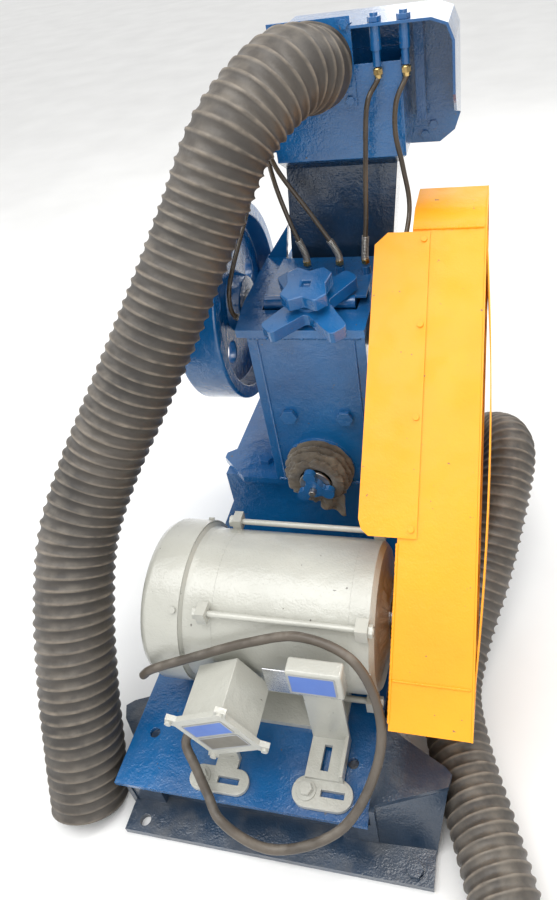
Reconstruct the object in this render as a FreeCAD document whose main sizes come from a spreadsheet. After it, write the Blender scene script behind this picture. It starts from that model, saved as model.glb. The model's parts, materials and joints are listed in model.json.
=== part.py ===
# Belt driven grain crushing mill: motor on a low base, guarded belts up to a cross shaft
# with a flywheel, swing jaw and fixed jaw in a plate body, feed hopper with hood on top.
# Frame: +Z up, X to the drive side, Y to the rear, origin on the floor at the base centre.
import FreeCAD, Part
import math
import os
import Sketcher

V = FreeCAD.Vector
doc = FreeCAD.newDocument("GrainMill")
dims = doc.addObject("Spreadsheet::Sheet", "Dims")


class Size:
    """A length that keeps both its number and the sheet formula it comes from."""

    def __init__(self, value, text):
        self.value = float(value)
        self.text = text

    def __float__(self):
        return self.value

    def join(self, sign, other, result):
        return Size(result, "(%s %s %s)" % (self.text, sign, formula(other)))

    def __add__(self, other):
        return self.join("+", other, self.value + float(other))

    def __sub__(self, other):
        return self.join("-", other, self.value - float(other))

    def __mul__(self, other):
        return self.join("*", other, self.value * float(other))

    def __truediv__(self, other):
        return self.join("/", other, self.value / float(other))

    def __neg__(self):
        return Size(-self.value, "(-1 * %s)" % self.text)

    def __radd__(self, other):
        return as_size(other) + self

    def __rsub__(self, other):
        return as_size(other) - self

    def __rmul__(self, other):
        return as_size(other) * self


def formula(value):
    if isinstance(value, Size):
        return value.text
    return "%.6f" % float(value)


def as_size(value):
    if isinstance(value, Size):
        return value
    return Size(value, formula(value))


def sine(angle):
    return Size(math.sin(math.radians(float(angle))), "sin(%s)" % formula(angle))


def cosine(angle):
    return Size(math.cos(math.radians(float(angle))), "cos(%s)" % formula(angle))


def tangent(angle):
    return Size(math.tan(math.radians(float(angle))), "tan(%s)" % formula(angle))


sheet_row = [0]


def size(alias, value, note):
    """One driving dimension: a named sheet cell holding a plain number."""
    sheet_row[0] += 1
    row = sheet_row[0]
    dims.set("A%d" % row, note)
    dims.set("B%d" % row, str(value))
    dims.setAlias("B%d" % row, alias)
    return Size(value, "Dims.%s" % alias)


# ---------------------------------------------------------------- driving dimensions
base_depth = size("base_depth", 900, "base, front to rear")
base_width = size("base_width", 484, "front foot, side to side")
foot_thick = size("foot_thick", 12, "foot and base plate thickness")
foot_reach = size("foot_reach", 45, "front foot in front of the wall")
foot_hole = size("foot_hole", 18, "foot hole diameter")
foot_inset = size("foot_inset", 28, "foot hole from the foot end")
foot_setback = size("foot_setback", 18, "foot hole from the front edge")
rear_inset = size("rear_inset", 20, "rear foot hole from the rear edge")
wing_top = size("wing_top", 114, "top of the right wing")
wing_low = size("wing_low", 60, "top of the left wing")
rail_top = size("rail_top", 72, "top of the motor rails")
plate_left = size("plate_left", -257, "left edge of the motor plate")
plate_right = size("plate_right", 147, "right edge of the motor plate")
plate_front = size("plate_front", 38, "motor plate from the base front")
plate_length = size("plate_length", 400, "motor plate, front to rear")
plate_thick = size("plate_thick", 8, "motor plate thickness")
motor_set = size("motor_set", 295, "motor axis from the base front")
motor_height = size("motor_height", 140, "motor axis above the motor plate")
barrel_radius = size("barrel_radius", 119, "motor barrel radius")
cover_radius = size("cover_radius", 131, "fan cover radius")
bolt_circle = size("bolt_circle", 132, "through bolt circle radius")
shaft_radius = size("shaft_radius", 19, "motor shaft radius")
guard_left = size("guard_left", 177, "left face of the belt guard")
guard_width = size("guard_width", 112, "belt guard width")
guard_slope = size("guard_slope", 40.5, "rise of the guard front face in degrees")
guard_front = size("guard_front", 109, "lowest guard edge from the base front")
guard_low = size("guard_low", 222, "lowest guard edge above the floor")
guard_run = size("guard_run", 569, "horizontal run of the guard front face")
sheet_thick = size("sheet_thick", 2.5, "guard sheet thickness")
main_set = size("main_set", 715, "main shaft axis from the base front")
main_height = size("main_height", 556, "main shaft axis above the floor")
journal_radius = size("journal_radius", 20, "main shaft journal radius")
throw = size("throw", 3, "eccentric throw")
wheel_radius = size("wheel_radius", 182, "flywheel radius")
wheel_left = size("wheel_left", -215, "left face of the flywheel rim")
wheel_width = size("wheel_width", 80, "flywheel rim width")
body_middle = size("body_middle", 12, "middle of the mill body")
body_half = size("body_half", 98, "half width of the mill body")
body_set = size("body_set", 540, "front of the mill body from the base front")
body_depth = size("body_depth", 330, "mill body, front to rear")
body_low = size("body_low", 270, "underside of the mill body")
body_top = size("body_top", 591, "top of the body plates")
wall_thick = size("wall_thick", 10, "body plate thickness")
flange_thick = size("flange_thick", 14, "base flange and top frame thickness")
pedestal_half = size("pedestal_half", 200, "half width of the pedestal")
hopper_left = size("hopper_left", -48, "left side of the hopper box")
hopper_right = size("hopper_right", 165, "right side of the hopper box")
hopper_set = size("hopper_set", 742, "front of the hopper box from the base front")
hopper_depth = size("hopper_depth", 110, "hopper box, front to rear")
hopper_low = size("hopper_low", 800, "bottom of the hopper box")
hopper_top = size("hopper_top", 941, "top edge of the hopper box")
hood_left = size("hood_left", -15, "left end of the hood")
hood_right = size("hood_right", 244, "right end of the hood")
hood_set = size("hood_set", 722, "front lip of the hood from the base front")
hood_top = size("hood_top", 997, "top of the hood")
hose_radius = size("hose_radius", 63.5, "left hose outer radius")
small_hose = size("small_hose", 50, "right hose outer radius")
hose_wall = size("hose_wall", 5, "hose wall")
knob_tilt = size("knob_tilt", 12, "forward tilt of the adjusting screw in degrees")
screw_pitch = size("screw_pitch", 3, "pitch of the adjusting screw")
fit_gap = size("fit_gap", 0.05, "radial clearance of running fits")
doc.recompute()

front = -base_depth / 2
rear = base_depth / 2


def back(setback):
    """Y position of something a given distance behind the base front edge."""
    return front + setback


plate_low = rail_top
plate_high = rail_top + plate_thick
motor_y = back(motor_set)
motor_z = plate_high + motor_height
main_y = back(main_set)
main_z = main_height
body_y = back(body_set)
body_rear = body_y + body_depth
body_left = body_middle - body_half
body_right = body_middle + body_half
frame_top = body_top + flange_thick
guard_right = guard_left + guard_width
guard_y = back(guard_front)
hopper_y = back(hopper_set)


# ---------------------------------------------------------------- modelling helpers
def bind(item, prop, value):
    item.setExpression(prop, formula(value))


def place(item, x, y, z, axis=(0, 0, 1), angle=0):
    """Put an object at x, y, z, turned about an axis through its own origin."""
    turn = FreeCAD.Rotation(V(*axis), float(angle))
    item.Placement = FreeCAD.Placement(V(float(x), float(y), float(z)), turn)
    bind(item, "Placement.Base.x", x)
    bind(item, "Placement.Base.y", y)
    bind(item, "Placement.Base.z", z)
    if isinstance(angle, Size):
        bind(item, "Placement.Rotation.Angle", angle)
    return item


def box(name, x0, x1, y0, y1, z0, z1):
    item = doc.addObject("Part::Box", name)
    bind(item, "Length", as_size(x1) - x0)
    bind(item, "Width", as_size(y1) - y0)
    bind(item, "Height", as_size(z1) - z0)
    return place(item, x0, y0, z0)


def along(item, direction, start, a, b):
    """Stand an object that grows along its own Z on the X, Y or Z direction."""
    if direction == "X":
        return place(item, start, a, b, (0, 1, 0), 90)
    if direction == "Y":
        return place(item, a, start, b, (1, 0, 0), -90)
    return place(item, a, b, start)


def rod(name, direction, radius, start, length, a, b):
    item = doc.addObject("Part::Cylinder", name)
    bind(item, "Radius", radius)
    bind(item, "Height", length)
    return along(item, direction, start, a, b)


def hexagon(name, direction, across, start, length, a, b):
    item = doc.addObject("Part::Prism", name)
    item.Polygon = 6
    bind(item, "Circumradius", as_size(across) / 1.732051)
    bind(item, "Height", length)
    return along(item, direction, start, a, b)


def fuse(name, *items):
    item = doc.addObject("Part::MultiFuse", name)
    item.Shapes = list(items)
    return item


def cut(name, base, *tools):
    tool = tools[0]
    if len(tools) > 1:
        tool = fuse(name + "_tools", *tools)
    item = doc.addObject("Part::Cut", name)
    item.Base = base
    item.Tool = tool
    return item


def group(name, *items):
    item = doc.addObject("Part::Compound", name)
    item.Links = list(items)
    return item


def ring(name, direction, outer, inner, start, length, a, b):
    outside = rod(name + "_out", direction, outer, start, length, a, b)
    inside = rod(name + "_in", direction, inner, as_size(start) - 1, as_size(length) + 2, a, b)
    return cut(name, outside, inside)


def plane_of(body, role):
    for feature in body.Origin.OriginFeatures:
        if feature.Role == role:
            return feature
    raise ValueError(role)


def sketch(body, role, level=0):
    """A sketch on one of the body's own origin planes, raised by level."""
    item = body.newObject("Sketcher::SketchObject", body.Name + "_sketch")
    item.AttachmentSupport = [(plane_of(body, role), "")]
    item.MapMode = "FlatFace"
    bind(item, "AttachmentOffset.Base.z", level)
    return item


def pin_point(item, geometry, point, x, y):
    """Fix one sketch point by its distances from the sketch origin."""
    for kind, value in (("DistanceX", x), ("DistanceY", y)):
        index = item.addConstraint(
            Sketcher.Constraint(kind, -1, 1, geometry, point, float(value)))
        if isinstance(value, Size):
            bind(item, "Constraints[%d]" % index, value)


def polygon(item, points):
    first = item.GeometryCount
    count = len(points)
    for i in range(count):
        a = points[i]
        b = points[(i + 1) % count]
        start = V(float(a[0]), float(a[1]), 0)
        end = V(float(b[0]), float(b[1]), 0)
        item.addGeometry(Part.LineSegment(start, end), False)
    for i in range(count):
        item.addConstraint(
            Sketcher.Constraint("Coincident", first + i, 2, first + (i + 1) % count, 1))
    for i in range(count):
        pin_point(item, first + i, 1, points[i][0], points[i][1])


def circle(item, x, y, radius):
    centre = V(float(x), float(y), 0)
    index = item.addGeometry(Part.Circle(centre, V(0, 0, 1), float(radius)), False)
    pin_point(item, index, 3, x, y)
    limit = item.addConstraint(Sketcher.Constraint("Radius", index, float(radius)))
    if isinstance(radius, Size):
        bind(item, "Constraints[%d]" % limit, radius)


def rectangle(item, x0, x1, y0, y1):
    polygon(item, [(x0, y0), (x1, y0), (x1, y1), (x0, y1)])


def feature(body, kind, profile, length):
    item = body.newObject("PartDesign::" + kind, body.Name + "_" + kind.lower())
    item.Profile = profile
    bind(item, "Length", length)
    profile.Visibility = False
    return item


def pad(body, profile, length):
    return feature(body, "Pad", profile, length)


def pocket(body, profile, length):
    return feature(body, "Pocket", profile, length)


def new_body(name):
    return doc.addObject("PartDesign::Body", name)


def plate(name, role, points, level, length, holes=()):
    """A flat plate: one outline and round holes, padded from level by length."""
    body = new_body(name)
    outline = sketch(body, role, level)
    polygon(outline, points)
    for x, y, radius in holes:
        circle(outline, x, y, radius)
    pad(body, outline, length)
    return body


def polar(body, source, axis, count):
    item = body.newObject("PartDesign::PolarPattern", body.Name + "_pattern")
    item.Originals = [source]
    item.Axis = (plane_of(body, axis), [""])
    item.Angle = 360
    body.Tip = item
    item.Occurrences = count
    return item


def turned(name, profile, y, z):
    """A round part on an axis along X: the profile gives x and radius pairs."""
    body = new_body(name)
    outline = sketch(body, "XZ_Plane")
    polygon(outline, profile)
    item = body.newObject("PartDesign::Revolution", name + "_turn")
    item.Profile = outline
    item.ReferenceAxis = (outline, ["H_Axis"])
    item.Angle = 360
    outline.Visibility = False
    place(body, 0, y, z)
    return body


def round_edges(body, radius, wanted):
    """Fillet the edges of the tip feature that the wanted test picks out."""
    doc.recompute()
    tip = body.Tip
    names = []
    for number, edge in enumerate(tip.Shape.Edges):
        if wanted(edge):
            names.append("Edge%d" % (number + 1))
    item = body.newObject("PartDesign::Fillet", body.Name + "_fillet")
    item.Base = (tip, names)
    bind(item, "Radius", radius)
    return item


def along_axis(edge, axis):
    if edge.Curve.TypeId != "Part::GeomLine":
        return False
    return abs(edge.Curve.Direction.dot(V(*axis))) > 0.999


def bolt(name, direction, across, start, sense, head, shank_radius, shank, a, b):
    """Hex head growing from start in the sense given, its shank the other way."""
    if sense > 0:
        top = hexagon(name + "_head", direction, across, start, head, a, b)
        stem = rod(name + "_stem", direction, shank_radius, as_size(start) - shank,
                   as_size(shank) + 1, a, b)
    else:
        top = hexagon(name + "_head", direction, across, as_size(start) - head, head, a, b)
        stem = rod(name + "_stem", direction, shank_radius, as_size(start) - 1,
                   as_size(shank) + 1, a, b)
    return fuse(name, top, stem)


def pipe(name, points, outer, inner):
    """A round tube (or rod when inner is zero) swept along a smooth path."""
    path = Part.BSplineCurve()
    path.interpolate([V(float(x), float(y), float(z)) for x, y, z in points])
    wire = Part.Wire(path.toShape())
    start = path.value(path.FirstParameter)
    tangent_there = path.tangent(path.FirstParameter)[0]

    def swept(radius):
        profile = Part.Wire(Part.makeCircle(float(radius), start, tangent_there))
        return wire.makePipeShell([profile], True, True)

    shape = swept(outer)
    if float(inner) > 0:
        shape = shape.cut(swept(inner))
    item = doc.addObject("Part::Feature", name)
    item.Shape = shape
    return item


parts = []


def keep(item, name):
    """Register a finished sub-part under its node name."""
    item.Label = name
    parts.append(item)
    return item


# ---------------------------------------------------------------- base
foot_half = base_width / 2
wall_y = back(foot_reach)
rear_strip = rear - 370
left_wall = plate_left + 10
left_rail = left_wall + 8
right_rail = plate_right - 45
wing_root = plate_right + 3
wing_tip = foot_half + 20


def base_weldment():
    foot_hole_x = foot_half - foot_inset
    front_hole = front + foot_setback
    rear_hole = rear - rear_inset
    left_end = -foot_half - 5
    strips = [
        box("foot_strip", -foot_half, foot_half, front, wall_y + 20, 0, foot_thick),
        box("left_strip", left_end, left_rail + 50, wall_y, rear, 0, foot_thick),
        box("right_strip", right_rail, wing_root + 11, wall_y, rear, 0, foot_thick),
        box("rear_strip", left_end, foot_half, rear_strip, rear, 0, foot_thick),
        box("left_side", left_end, left_rail, wall_y, rear_strip, 1, wing_low),
        box("right_side", right_rail + 26, right_rail + 34, wall_y + 5, rear_strip, 1, wing_low),
        box("low_wall", right_rail + 26, wing_root, wall_y, wall_y + 8, 1, plate_low - 2),
        box("web", left_rail + 50, right_rail, wall_y + 12, wall_y + 18, 1, wing_low),
        box("wing_side", wing_root, wing_root + 8, wall_y, wall_y + 140, 1, wing_top),
    ]
    left_wing = plate("left_wing", "XY_Plane", [
        (left_rail - 2, wall_y + 50), (left_rail - 55, wall_y + 105),
        (left_rail - 64, wall_y + 127), (left_rail - 52, wall_y + 138),
        (left_rail - 2, wall_y + 160)], wing_low - 10, 10)
    right_wing = plate("right_wing", "XY_Plane", [
        (wing_root, wall_y + 7), (wing_tip - 4, wall_y + 51), (wing_tip, wall_y + 69),
        (wing_tip - 9, wall_y + 78), (wing_root + 29, wall_y + 117),
        (wing_root, wall_y + 140)], wing_top - 10, 10)
    wall = new_body("wing_wall")
    low = sketch(wall, "XY_Plane", 1)
    rectangle(low, wing_root, foot_half, wall_y, wall_y + 8)
    high = sketch(wall, "XY_Plane", wing_top - 9)
    polygon(high, [(wing_root, wall_y + 7), (wing_tip - 5, wall_y + 50),
                   (wing_tip - 9, wall_y + 58), (wing_root, wall_y + 15)])
    loft = wall.newObject("PartDesign::AdditiveLoft", "wing_wall_loft")
    loft.Profile = low
    loft.Sections = [high]
    solid = fuse("base_solid", *(strips + [left_wing, right_wing, wall]))
    holes = []
    for side in (-1, 1):
        for y in (front_hole, rear_hole):
            holes.append(rod("foot_hole", "Z", foot_hole / 2, -1, foot_thick + 2,
                             foot_hole_x * side, y))
    window = box("window", left_rail + 80, right_rail - 30, rear_strip + 60, rear - 60, -1,
                 foot_thick + 1)
    return cut("base_weldment", solid, window, *holes)



anchor_x = foot_half - foot_inset
anchor_y = front + foot_setback
anchor = fuse("anchor_fuse",
              rod("anchor_washer", "Z", 13, foot_thick, 2.5, anchor_x, anchor_y),
              bolt("anchor", "Z", 22, foot_thick + 2.5, 1, 7, 7.5, foot_thick,
                   anchor_x, anchor_y))
keep(anchor, "anchor_bolt")

rails = [
    box("rail_left", left_rail, left_rail + 50, wall_y + 2, back(445), foot_thick, plate_low),
    box("rail_right", right_rail, right_rail + 25.5, wall_y + 2, back(445), foot_thick,
        plate_low)]
keep(fuse("base_with_rails", base_weldment(), *rails), "base_frame")

# ---------------------------------------------------------------- motor plate and motor
foot_x0 = -92
foot_x1 = 92
foot_half_span = 108
motor_bolt_x = (-75, 75)
motor_bolt_radius = 5.5
bracket_bolts_at = [(-117, back(66)), (50, back(70.5))]
bracket_foot = 8

plate_y = back(plate_front)
plate_holes = [(plate_right - 35, plate_y + 86, 8.5), (plate_left + 35, plate_y + 86, 8.5)]
for x in motor_bolt_x:
    for side in (-1, 1):
        plate_holes.append((as_size(x), motor_y + foot_half_span * side,
                            motor_bolt_radius + 0.5))
plate_holes += [(as_size(x), y, motor_bolt_radius + 0.5) for x, y in bracket_bolts_at]
motor_plate = plate("motor_plate", "XY_Plane", [
    (plate_left, plate_y), (plate_right, plate_y),
    (plate_right, plate_y + plate_length), (plate_left, plate_y + plate_length)],
    plate_low, plate_thick, plate_holes)
keep(motor_plate, "motor_plate")

barrel_left = -100
barrel_right = 112
bell_left = -150
bell_right = 150


def motor_frame():
    barrel = ring("barrel", "X", barrel_radius, barrel_radius - 9, barrel_left,
                  barrel_right - barrel_left, motor_y, motor_z)
    feet = []
    for side in (-1, 1):
        outer = motor_y + (foot_half_span + 20) * side
        inner = motor_y + (foot_half_span - 32) * side
        low, high = (outer, inner) if side < 0 else (inner, outer)
        feet.append(box("motor_foot", foot_x0, foot_x1, low, high, plate_high, plate_high + 10))
        web_y = motor_y + (foot_half_span - 36) * side
        feet.append(box("foot_web", foot_x0, foot_x1, web_y - 5, web_y + 5, plate_high,
                        motor_z - 89))
    body = fuse("motor_frame_solid", barrel, *feet)
    holes = []
    for x in motor_bolt_x:
        for side in (-1, 1):
            holes.append(rod("motor_hole", "Z", motor_bolt_radius + 0.5, plate_high - 1, 12, x,
                             motor_y + foot_half_span * side))
    return cut("motor_frame", body, *holes)


keep(motor_frame(), "motor_frame")

foot_bolts = []
for x in motor_bolt_x:
    for side in (-1, 1):
        foot_bolts.append(bolt("motor_foot_bolt", "Z", 18, plate_high + 10, 1, 7,
                               motor_bolt_radius, 10 + plate_thick - 1, x,
                               motor_y + foot_half_span * side))
for x, y in bracket_bolts_at:
    washer = rod("bracket_washer", "Z", 15, plate_high + bracket_foot, 2, x, y)
    foot_bolts.append(fuse("bracket_bolt", washer,
                           bolt("bracket_hex", "Z", 18, plate_high + bracket_foot + 2, 1, 7,
                                motor_bolt_radius, bracket_foot + plate_thick + 1, x, y)))
keep(group("plate_bolt_set", *foot_bolts), "plate_bolts")

lug_reach = bolt_circle * 0.70711


def with_lugs(name, shell, x0, x1, hole):
    """Four block lugs at 45 degrees round an end bell, bored for the through bolts."""
    lugs = []
    holes = []
    for side in (-1, 1):
        for level in (-1, 1):
            y = motor_y + lug_reach * side
            z = motor_z + lug_reach * level
            lugs.append(box(name + "_lug", x0, x1, y - 12, y + 12, z - 12, z + 12))
            holes.append(rod(name + "_hole", "X", hole, as_size(x0) - 1, x1 - x0 + 2, y, z))
    core = rod(name + "_core", "X", barrel_radius - 8, as_size(x0) - 20, x1 - x0 + 40,
               motor_y, motor_z)
    outer = cut(name + "_lugs", fuse(name + "_blocks", *lugs), core)
    return cut(name, fuse(name + "_shell", shell, outer), *holes)


cover_bore = cover_radius - 2.5
fan_bell = turned("fan_bell", [
    (bell_left + 2, shaft_radius + 14), (bell_left + 2, barrel_radius - 12),
    (bell_left - 12, barrel_radius - 8), (bell_left - 12, cover_bore - 0.3),
    (bell_left + 0.6, cover_bore - 0.3), (bell_left + 4, barrel_radius + 3),
    (bell_left + 16, barrel_radius), (barrel_left - 0.1, barrel_radius),
    (barrel_left - 0.1, barrel_radius - 8), (bell_left + 24, barrel_radius - 8),
    (bell_left + 14, barrel_radius - 20), (bell_left + 14, shaft_radius + 14)],
    motor_y, motor_z)
keep(with_lugs("fan_end_bell", fan_bell, barrel_left - 16, barrel_left - 1, 5.5), "fan_end_bell")

drive_bell = turned("drive_bell", [
    (barrel_right + 0.1, barrel_radius - 8), (barrel_right + 0.1, barrel_radius),
    (bell_right - 8, barrel_radius - 1), (bell_right - 1, barrel_radius - 9),
    (bell_right, barrel_radius - 40), (bell_right + 10, shaft_radius + 30),
    (bell_right + 10, shaft_radius + 14), (bell_right - 22, shaft_radius + 14),
    (bell_right - 22, shaft_radius + 24), (bell_right - 10, barrel_radius - 40),
    (bell_right - 12, barrel_radius - 12), (bell_right - 20, barrel_radius - 8)],
    motor_y, motor_z)
drive_end = with_lugs("drive_bell_cut", drive_bell, bell_right - 24, bell_right - 6, 5.5)
ear_y = motor_y - barrel_radius * 0.97
ear_z = motor_z + 12
ear = ring("drain_ear", "X", 9, 3, bell_right - 20, 14, ear_y, ear_z)
keep(fuse("drive_end_fuse", drive_end, ear), "drive_end_bell")

through_bolts = []
for side in (-1, 1):
    for level in (-1, 1):
        y = motor_y + lug_reach * side
        z = motor_z + lug_reach * level
        through_bolts.append(fuse(
            "through_bolt",
            rod("through_rod", "X", 4.9, barrel_left - 24, bell_right - barrel_left + 26, y, z),
            hexagon("through_head", "X", 17, barrel_left - 23, 7, y, z),
            hexagon("through_nut", "X", 17, bell_right - 6, 7, y, z)))
keep(group("motor_through_bolts", *through_bolts), "motor_through_bolts")

cover_left = bell_left - 72
cover_shell = turned("cover_shell", [
    (bell_left, cover_radius), (cover_left + 20, cover_radius),
    (cover_left + 7, cover_radius - 7), (cover_left, cover_radius - 22), (cover_left, 0),
    (cover_left + 2.5, 0), (cover_left + 2.5, cover_radius - 24),
    (cover_left + 9, cover_radius - 10), (cover_left + 21, cover_bore),
    (bell_left, cover_bore)], motor_y, motor_z)
slots = []
for radius in (36, 58, 80):
    slots.append(ring("grille", "X", radius + 7, radius, cover_left - 1, 5, motor_y, motor_z))
spokes = [
    box("spoke", cover_left - 2, cover_left + 6, motor_y - 4, motor_y + 4, motor_z - 100,
        motor_z + 100),
    box("spoke", cover_left - 2, cover_left + 6, motor_y - 100, motor_y + 100, motor_z - 4,
        motor_z + 4)]
grille = cut("grille_slots", fuse("grille_rings", *slots), *spokes)
keep(cut("fan_cover_cut", cover_shell, grille), "fan_cover")

cover_screws = []
for side in (-1, 1):
    for level in (-1, 1):
        y = motor_y + cover_radius * 0.70711 * side
        z = motor_z + cover_radius * 0.70711 * level
        screw = doc.addObject("Part::Cylinder", "cover_screw")
        bind(screw, "Radius", 5)
        bind(screw, "Height", 4)
        turn = FreeCAD.Rotation(V(0, 0, 1), V(0, side, level))
        screw.Placement = FreeCAD.Placement(V(0, 0, 0), turn)
        bind(screw, "Placement.Base.x", bell_left - 8)
        bind(screw, "Placement.Base.y", y + 0.15 * side)
        bind(screw, "Placement.Base.z", z + 0.15 * level)
        cover_screws.append(screw)
keep(group("cover_screws", *cover_screws), "cover_screws")

stator = ring("stator", "X", barrel_radius - 9.1, 66, -60, 130, motor_y, motor_z)
windings = ring("windings", "X", 100, 72, -85, 180, motor_y, motor_z)
keep(fuse("stator_fuse", stator, windings), "motor_stator")
keep(ring("rotor_core", "X", 65, shaft_radius + 3, -62, 134, motor_y, motor_z), "motor_rotor")
motor_shaft = turned("motor_shaft", [
    (cover_left + 14, 0), (cover_left + 14, shaft_radius - 4), (bell_left - 2, shaft_radius - 4),
    (bell_left - 2, shaft_radius), (-90, shaft_radius), (-90, shaft_radius + 3),
    (100, shaft_radius + 3), (100, shaft_radius), (guard_right - 20, shaft_radius),
    (guard_right - 20, 0)], motor_y, motor_z)
keep(motor_shaft, "motor_shaft")
bearings = []
for x in (bell_left + 3, bell_right - 20):
    bearings.append(ring("motor_bearing", "X", shaft_radius + 14, as_size(shaft_radius) + fit_gap,
                         x, 16, motor_y, motor_z))
keep(group("motor_bearings", *bearings), "motor_bearings")

fan = new_body("fan")
fan_outline = sketch(fan, "YZ_Plane", cover_left + 18)
circle(fan_outline, 0, 0, 50)
circle(fan_outline, 0, 0, shaft_radius - 4)
pad(fan, fan_outline, 30)
blade_sketch = sketch(fan, "YZ_Plane", cover_left + 22)
rectangle(blade_sketch, 45, 112, -2, 2)
blade = pad(fan, blade_sketch, 34)
polar(fan, blade, "X_Axis", 7)
place(fan, 0, motor_y, motor_z)
keep(fan, "motor_fan")

# ---------------------------------------------------------------- belt drive
groove_count = 3
groove_pitch = 17
sheave_left = guard_left + 24
sheave_width = groove_count * groove_pitch + 6
drive_radius = 60
driven_radius = 85
belt_depth = 9


def groove_middle(number):
    return sheave_left + 3 + groove_pitch * (number + 0.5)


def sheave(name, radius, bore, y, z):
    profile = [(sheave_left, bore), (sheave_left, radius)]
    for number in range(groove_count):
        middle = groove_middle(number)
        profile += [(middle - 7.5, radius), (middle - 4.3, radius - 13),
                    (middle + 4.3, radius - 13), (middle + 7.5, radius)]
    right = sheave_left + sheave_width
    profile += [(right, radius), (right, bore)]
    return turned(name, profile, y, z)


sheave_bore = shaft_radius + 0.02
keep(sheave("drive_sheave", drive_radius, sheave_bore, motor_y, motor_z), "drive_sheave")
keep(sheave("driven_sheave", driven_radius, journal_radius + 0.02, main_y, main_z),
     "driven_sheave")


def belt(middle):
    """A V section swept round both sheaves, just clear of the groove walls."""
    y0, z0 = float(motor_y), float(motor_z)
    y1, z1 = float(main_y), float(main_z)
    small = drive_radius - 6
    large = driven_radius - 6
    gap = math.hypot(y1 - y0, z1 - z0)
    heading = math.atan2(z1 - z0, y1 - y0)
    lean = math.acos((small - large) / gap)
    x = float(middle)

    def on(y, z, radius, angle):
        return V(x, y + radius * math.cos(angle), z + radius * math.sin(angle))

    a = on(y0, z0, small, heading + lean)
    b = on(y1, z1, large, heading + lean)
    c = on(y1, z1, large, heading - lean)
    d = on(y0, z0, small, heading - lean)
    path = Part.Wire([
        Part.LineSegment(a, b).toShape(),
        Part.Arc(b, on(y1, z1, large, heading), c).toShape(),
        Part.LineSegment(c, d).toShape(),
        Part.Arc(d, on(y0, z0, small, heading + math.pi), a).toShape()])
    out = V(0, math.cos(heading + lean), math.sin(heading + lean))
    side = V(1, 0, 0)
    corners = [a + side * 6.6 + out * 5, a - side * 6.6 + out * 5,
               a - side * 4.6 - out * (belt_depth - 5), a + side * 4.6 - out * (belt_depth - 5)]
    section = Part.makePolygon(corners + [corners[0]])
    return path.makePipeShell([section], True, False)


belts = doc.addObject("Part::Feature", "belt_set")
belts.Shape = Part.makeCompound([belt(groove_middle(n)) for n in range(groove_count)])
keep(belts, "drive_belts")

# ---------------------------------------------------------------- belt guard
guard_rise = guard_run * tangent(guard_slope)
ridge_y = guard_y + guard_run
ridge_z = guard_low + guard_rise
rear_face = ridge_y + 162
guard_outline = [
    (guard_y, guard_low), (ridge_y, ridge_z), (ridge_y + 37, ridge_z + 14),
    (ridge_y + 122, ridge_z + 14), (rear_face, ridge_z - 18), (rear_face, ridge_z - 208),
    (guard_y + 236, 150), (guard_y + 121, 150)]


def inset(points, distance):
    """The outline moved inwards by a distance, corner by corner."""
    result = []
    count = len(points)
    flat = [(float(a), float(b)) for a, b in points]
    for i in range(count):
        before, here, after = flat[i - 1], flat[i], flat[(i + 1) % count]
        one = (here[0] - before[0], here[1] - before[1])
        two = (after[0] - here[0], after[1] - here[1])
        one_len = math.hypot(*one)
        two_len = math.hypot(*two)
        n1 = (one[1] / one_len, -one[0] / one_len)
        n2 = (two[1] / two_len, -two[0] / two_len)
        scale = distance / (1 + n1[0] * n2[0] + n1[1] * n2[1])
        result.append((here[0] + (n1[0] + n2[0]) * scale, here[1] + (n1[1] + n2[1]) * scale))
    return result


band = new_body("band")
band_outline = sketch(band, "YZ_Plane", guard_left + 3.1)
polygon(band_outline, guard_outline)
polygon(band_outline, inset(guard_outline, float(sheet_thick)))
pad(band, band_outline, guard_width - 3.1)
back_plate = plate("back_plate", "YZ_Plane", guard_outline, guard_left, 3.2,
                   [(motor_y, motor_z, 34), (main_y, main_z, 32)])
keep(fuse("guard_case_fuse", band, back_plate), "guard_case")

mesh_frame = new_body("mesh_frame")
frame_outline = sketch(mesh_frame, "YZ_Plane", guard_right + 0.1)
polygon(frame_outline, guard_outline)
polygon(frame_outline, inset(guard_outline, 20))
pad(mesh_frame, frame_outline, 2.7)

slope = math.radians(float(guard_slope))
run_way = V(0, math.cos(slope), math.sin(slope))
face_way = V(0, -math.sin(slope), math.cos(slope))


def expanded_mesh():
    """Diamond mesh sheet, bowed outwards along the belt line."""
    bulge = 13.0
    chord = 690.0
    bend = (chord * chord / 4 + bulge * bulge) / (2 * bulge)
    base = V(float(guard_right) + 3.0, float(guard_y), float(guard_low))
    centre = base + run_way * 400 + V(bulge - bend, 0, 0) - face_way * 500
    outer = Part.makeCylinder(bend, 900, centre, face_way)
    inner = Part.makeCylinder(bend - 2, 900, centre, face_way)
    flat = [V(float(guard_right) + 2.7, y, z) for y, z in inset(guard_outline, 4)]
    column = Part.Face(Part.makePolygon(flat + [flat[0]])).extrude(V(30, 0, 0))
    sheet = outer.cut(inner).common(column)
    openings = []
    long_way, short_way, strand = 60.0, 30.0, 5.0
    for row in range(-22, 4):
        for step in range(0, 15):
            shift = 0.5 * (row % 2)
            middle = base + run_way * ((step + shift) * long_way) + face_way * (row * short_way / 2)
            half = run_way * (long_way / 2 - strand)
            rise = face_way * (short_way / 2 - strand / 2)
            corners = [middle + half, middle + rise, middle - half, middle - rise]
            if all(inside_guard(corner) for corner in corners):
                face = Part.Face(Part.makePolygon(corners + [corners[0]]))
                openings.append(face.extrude(V(30, 0, 0)))
    return sheet.cut(openings)


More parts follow.
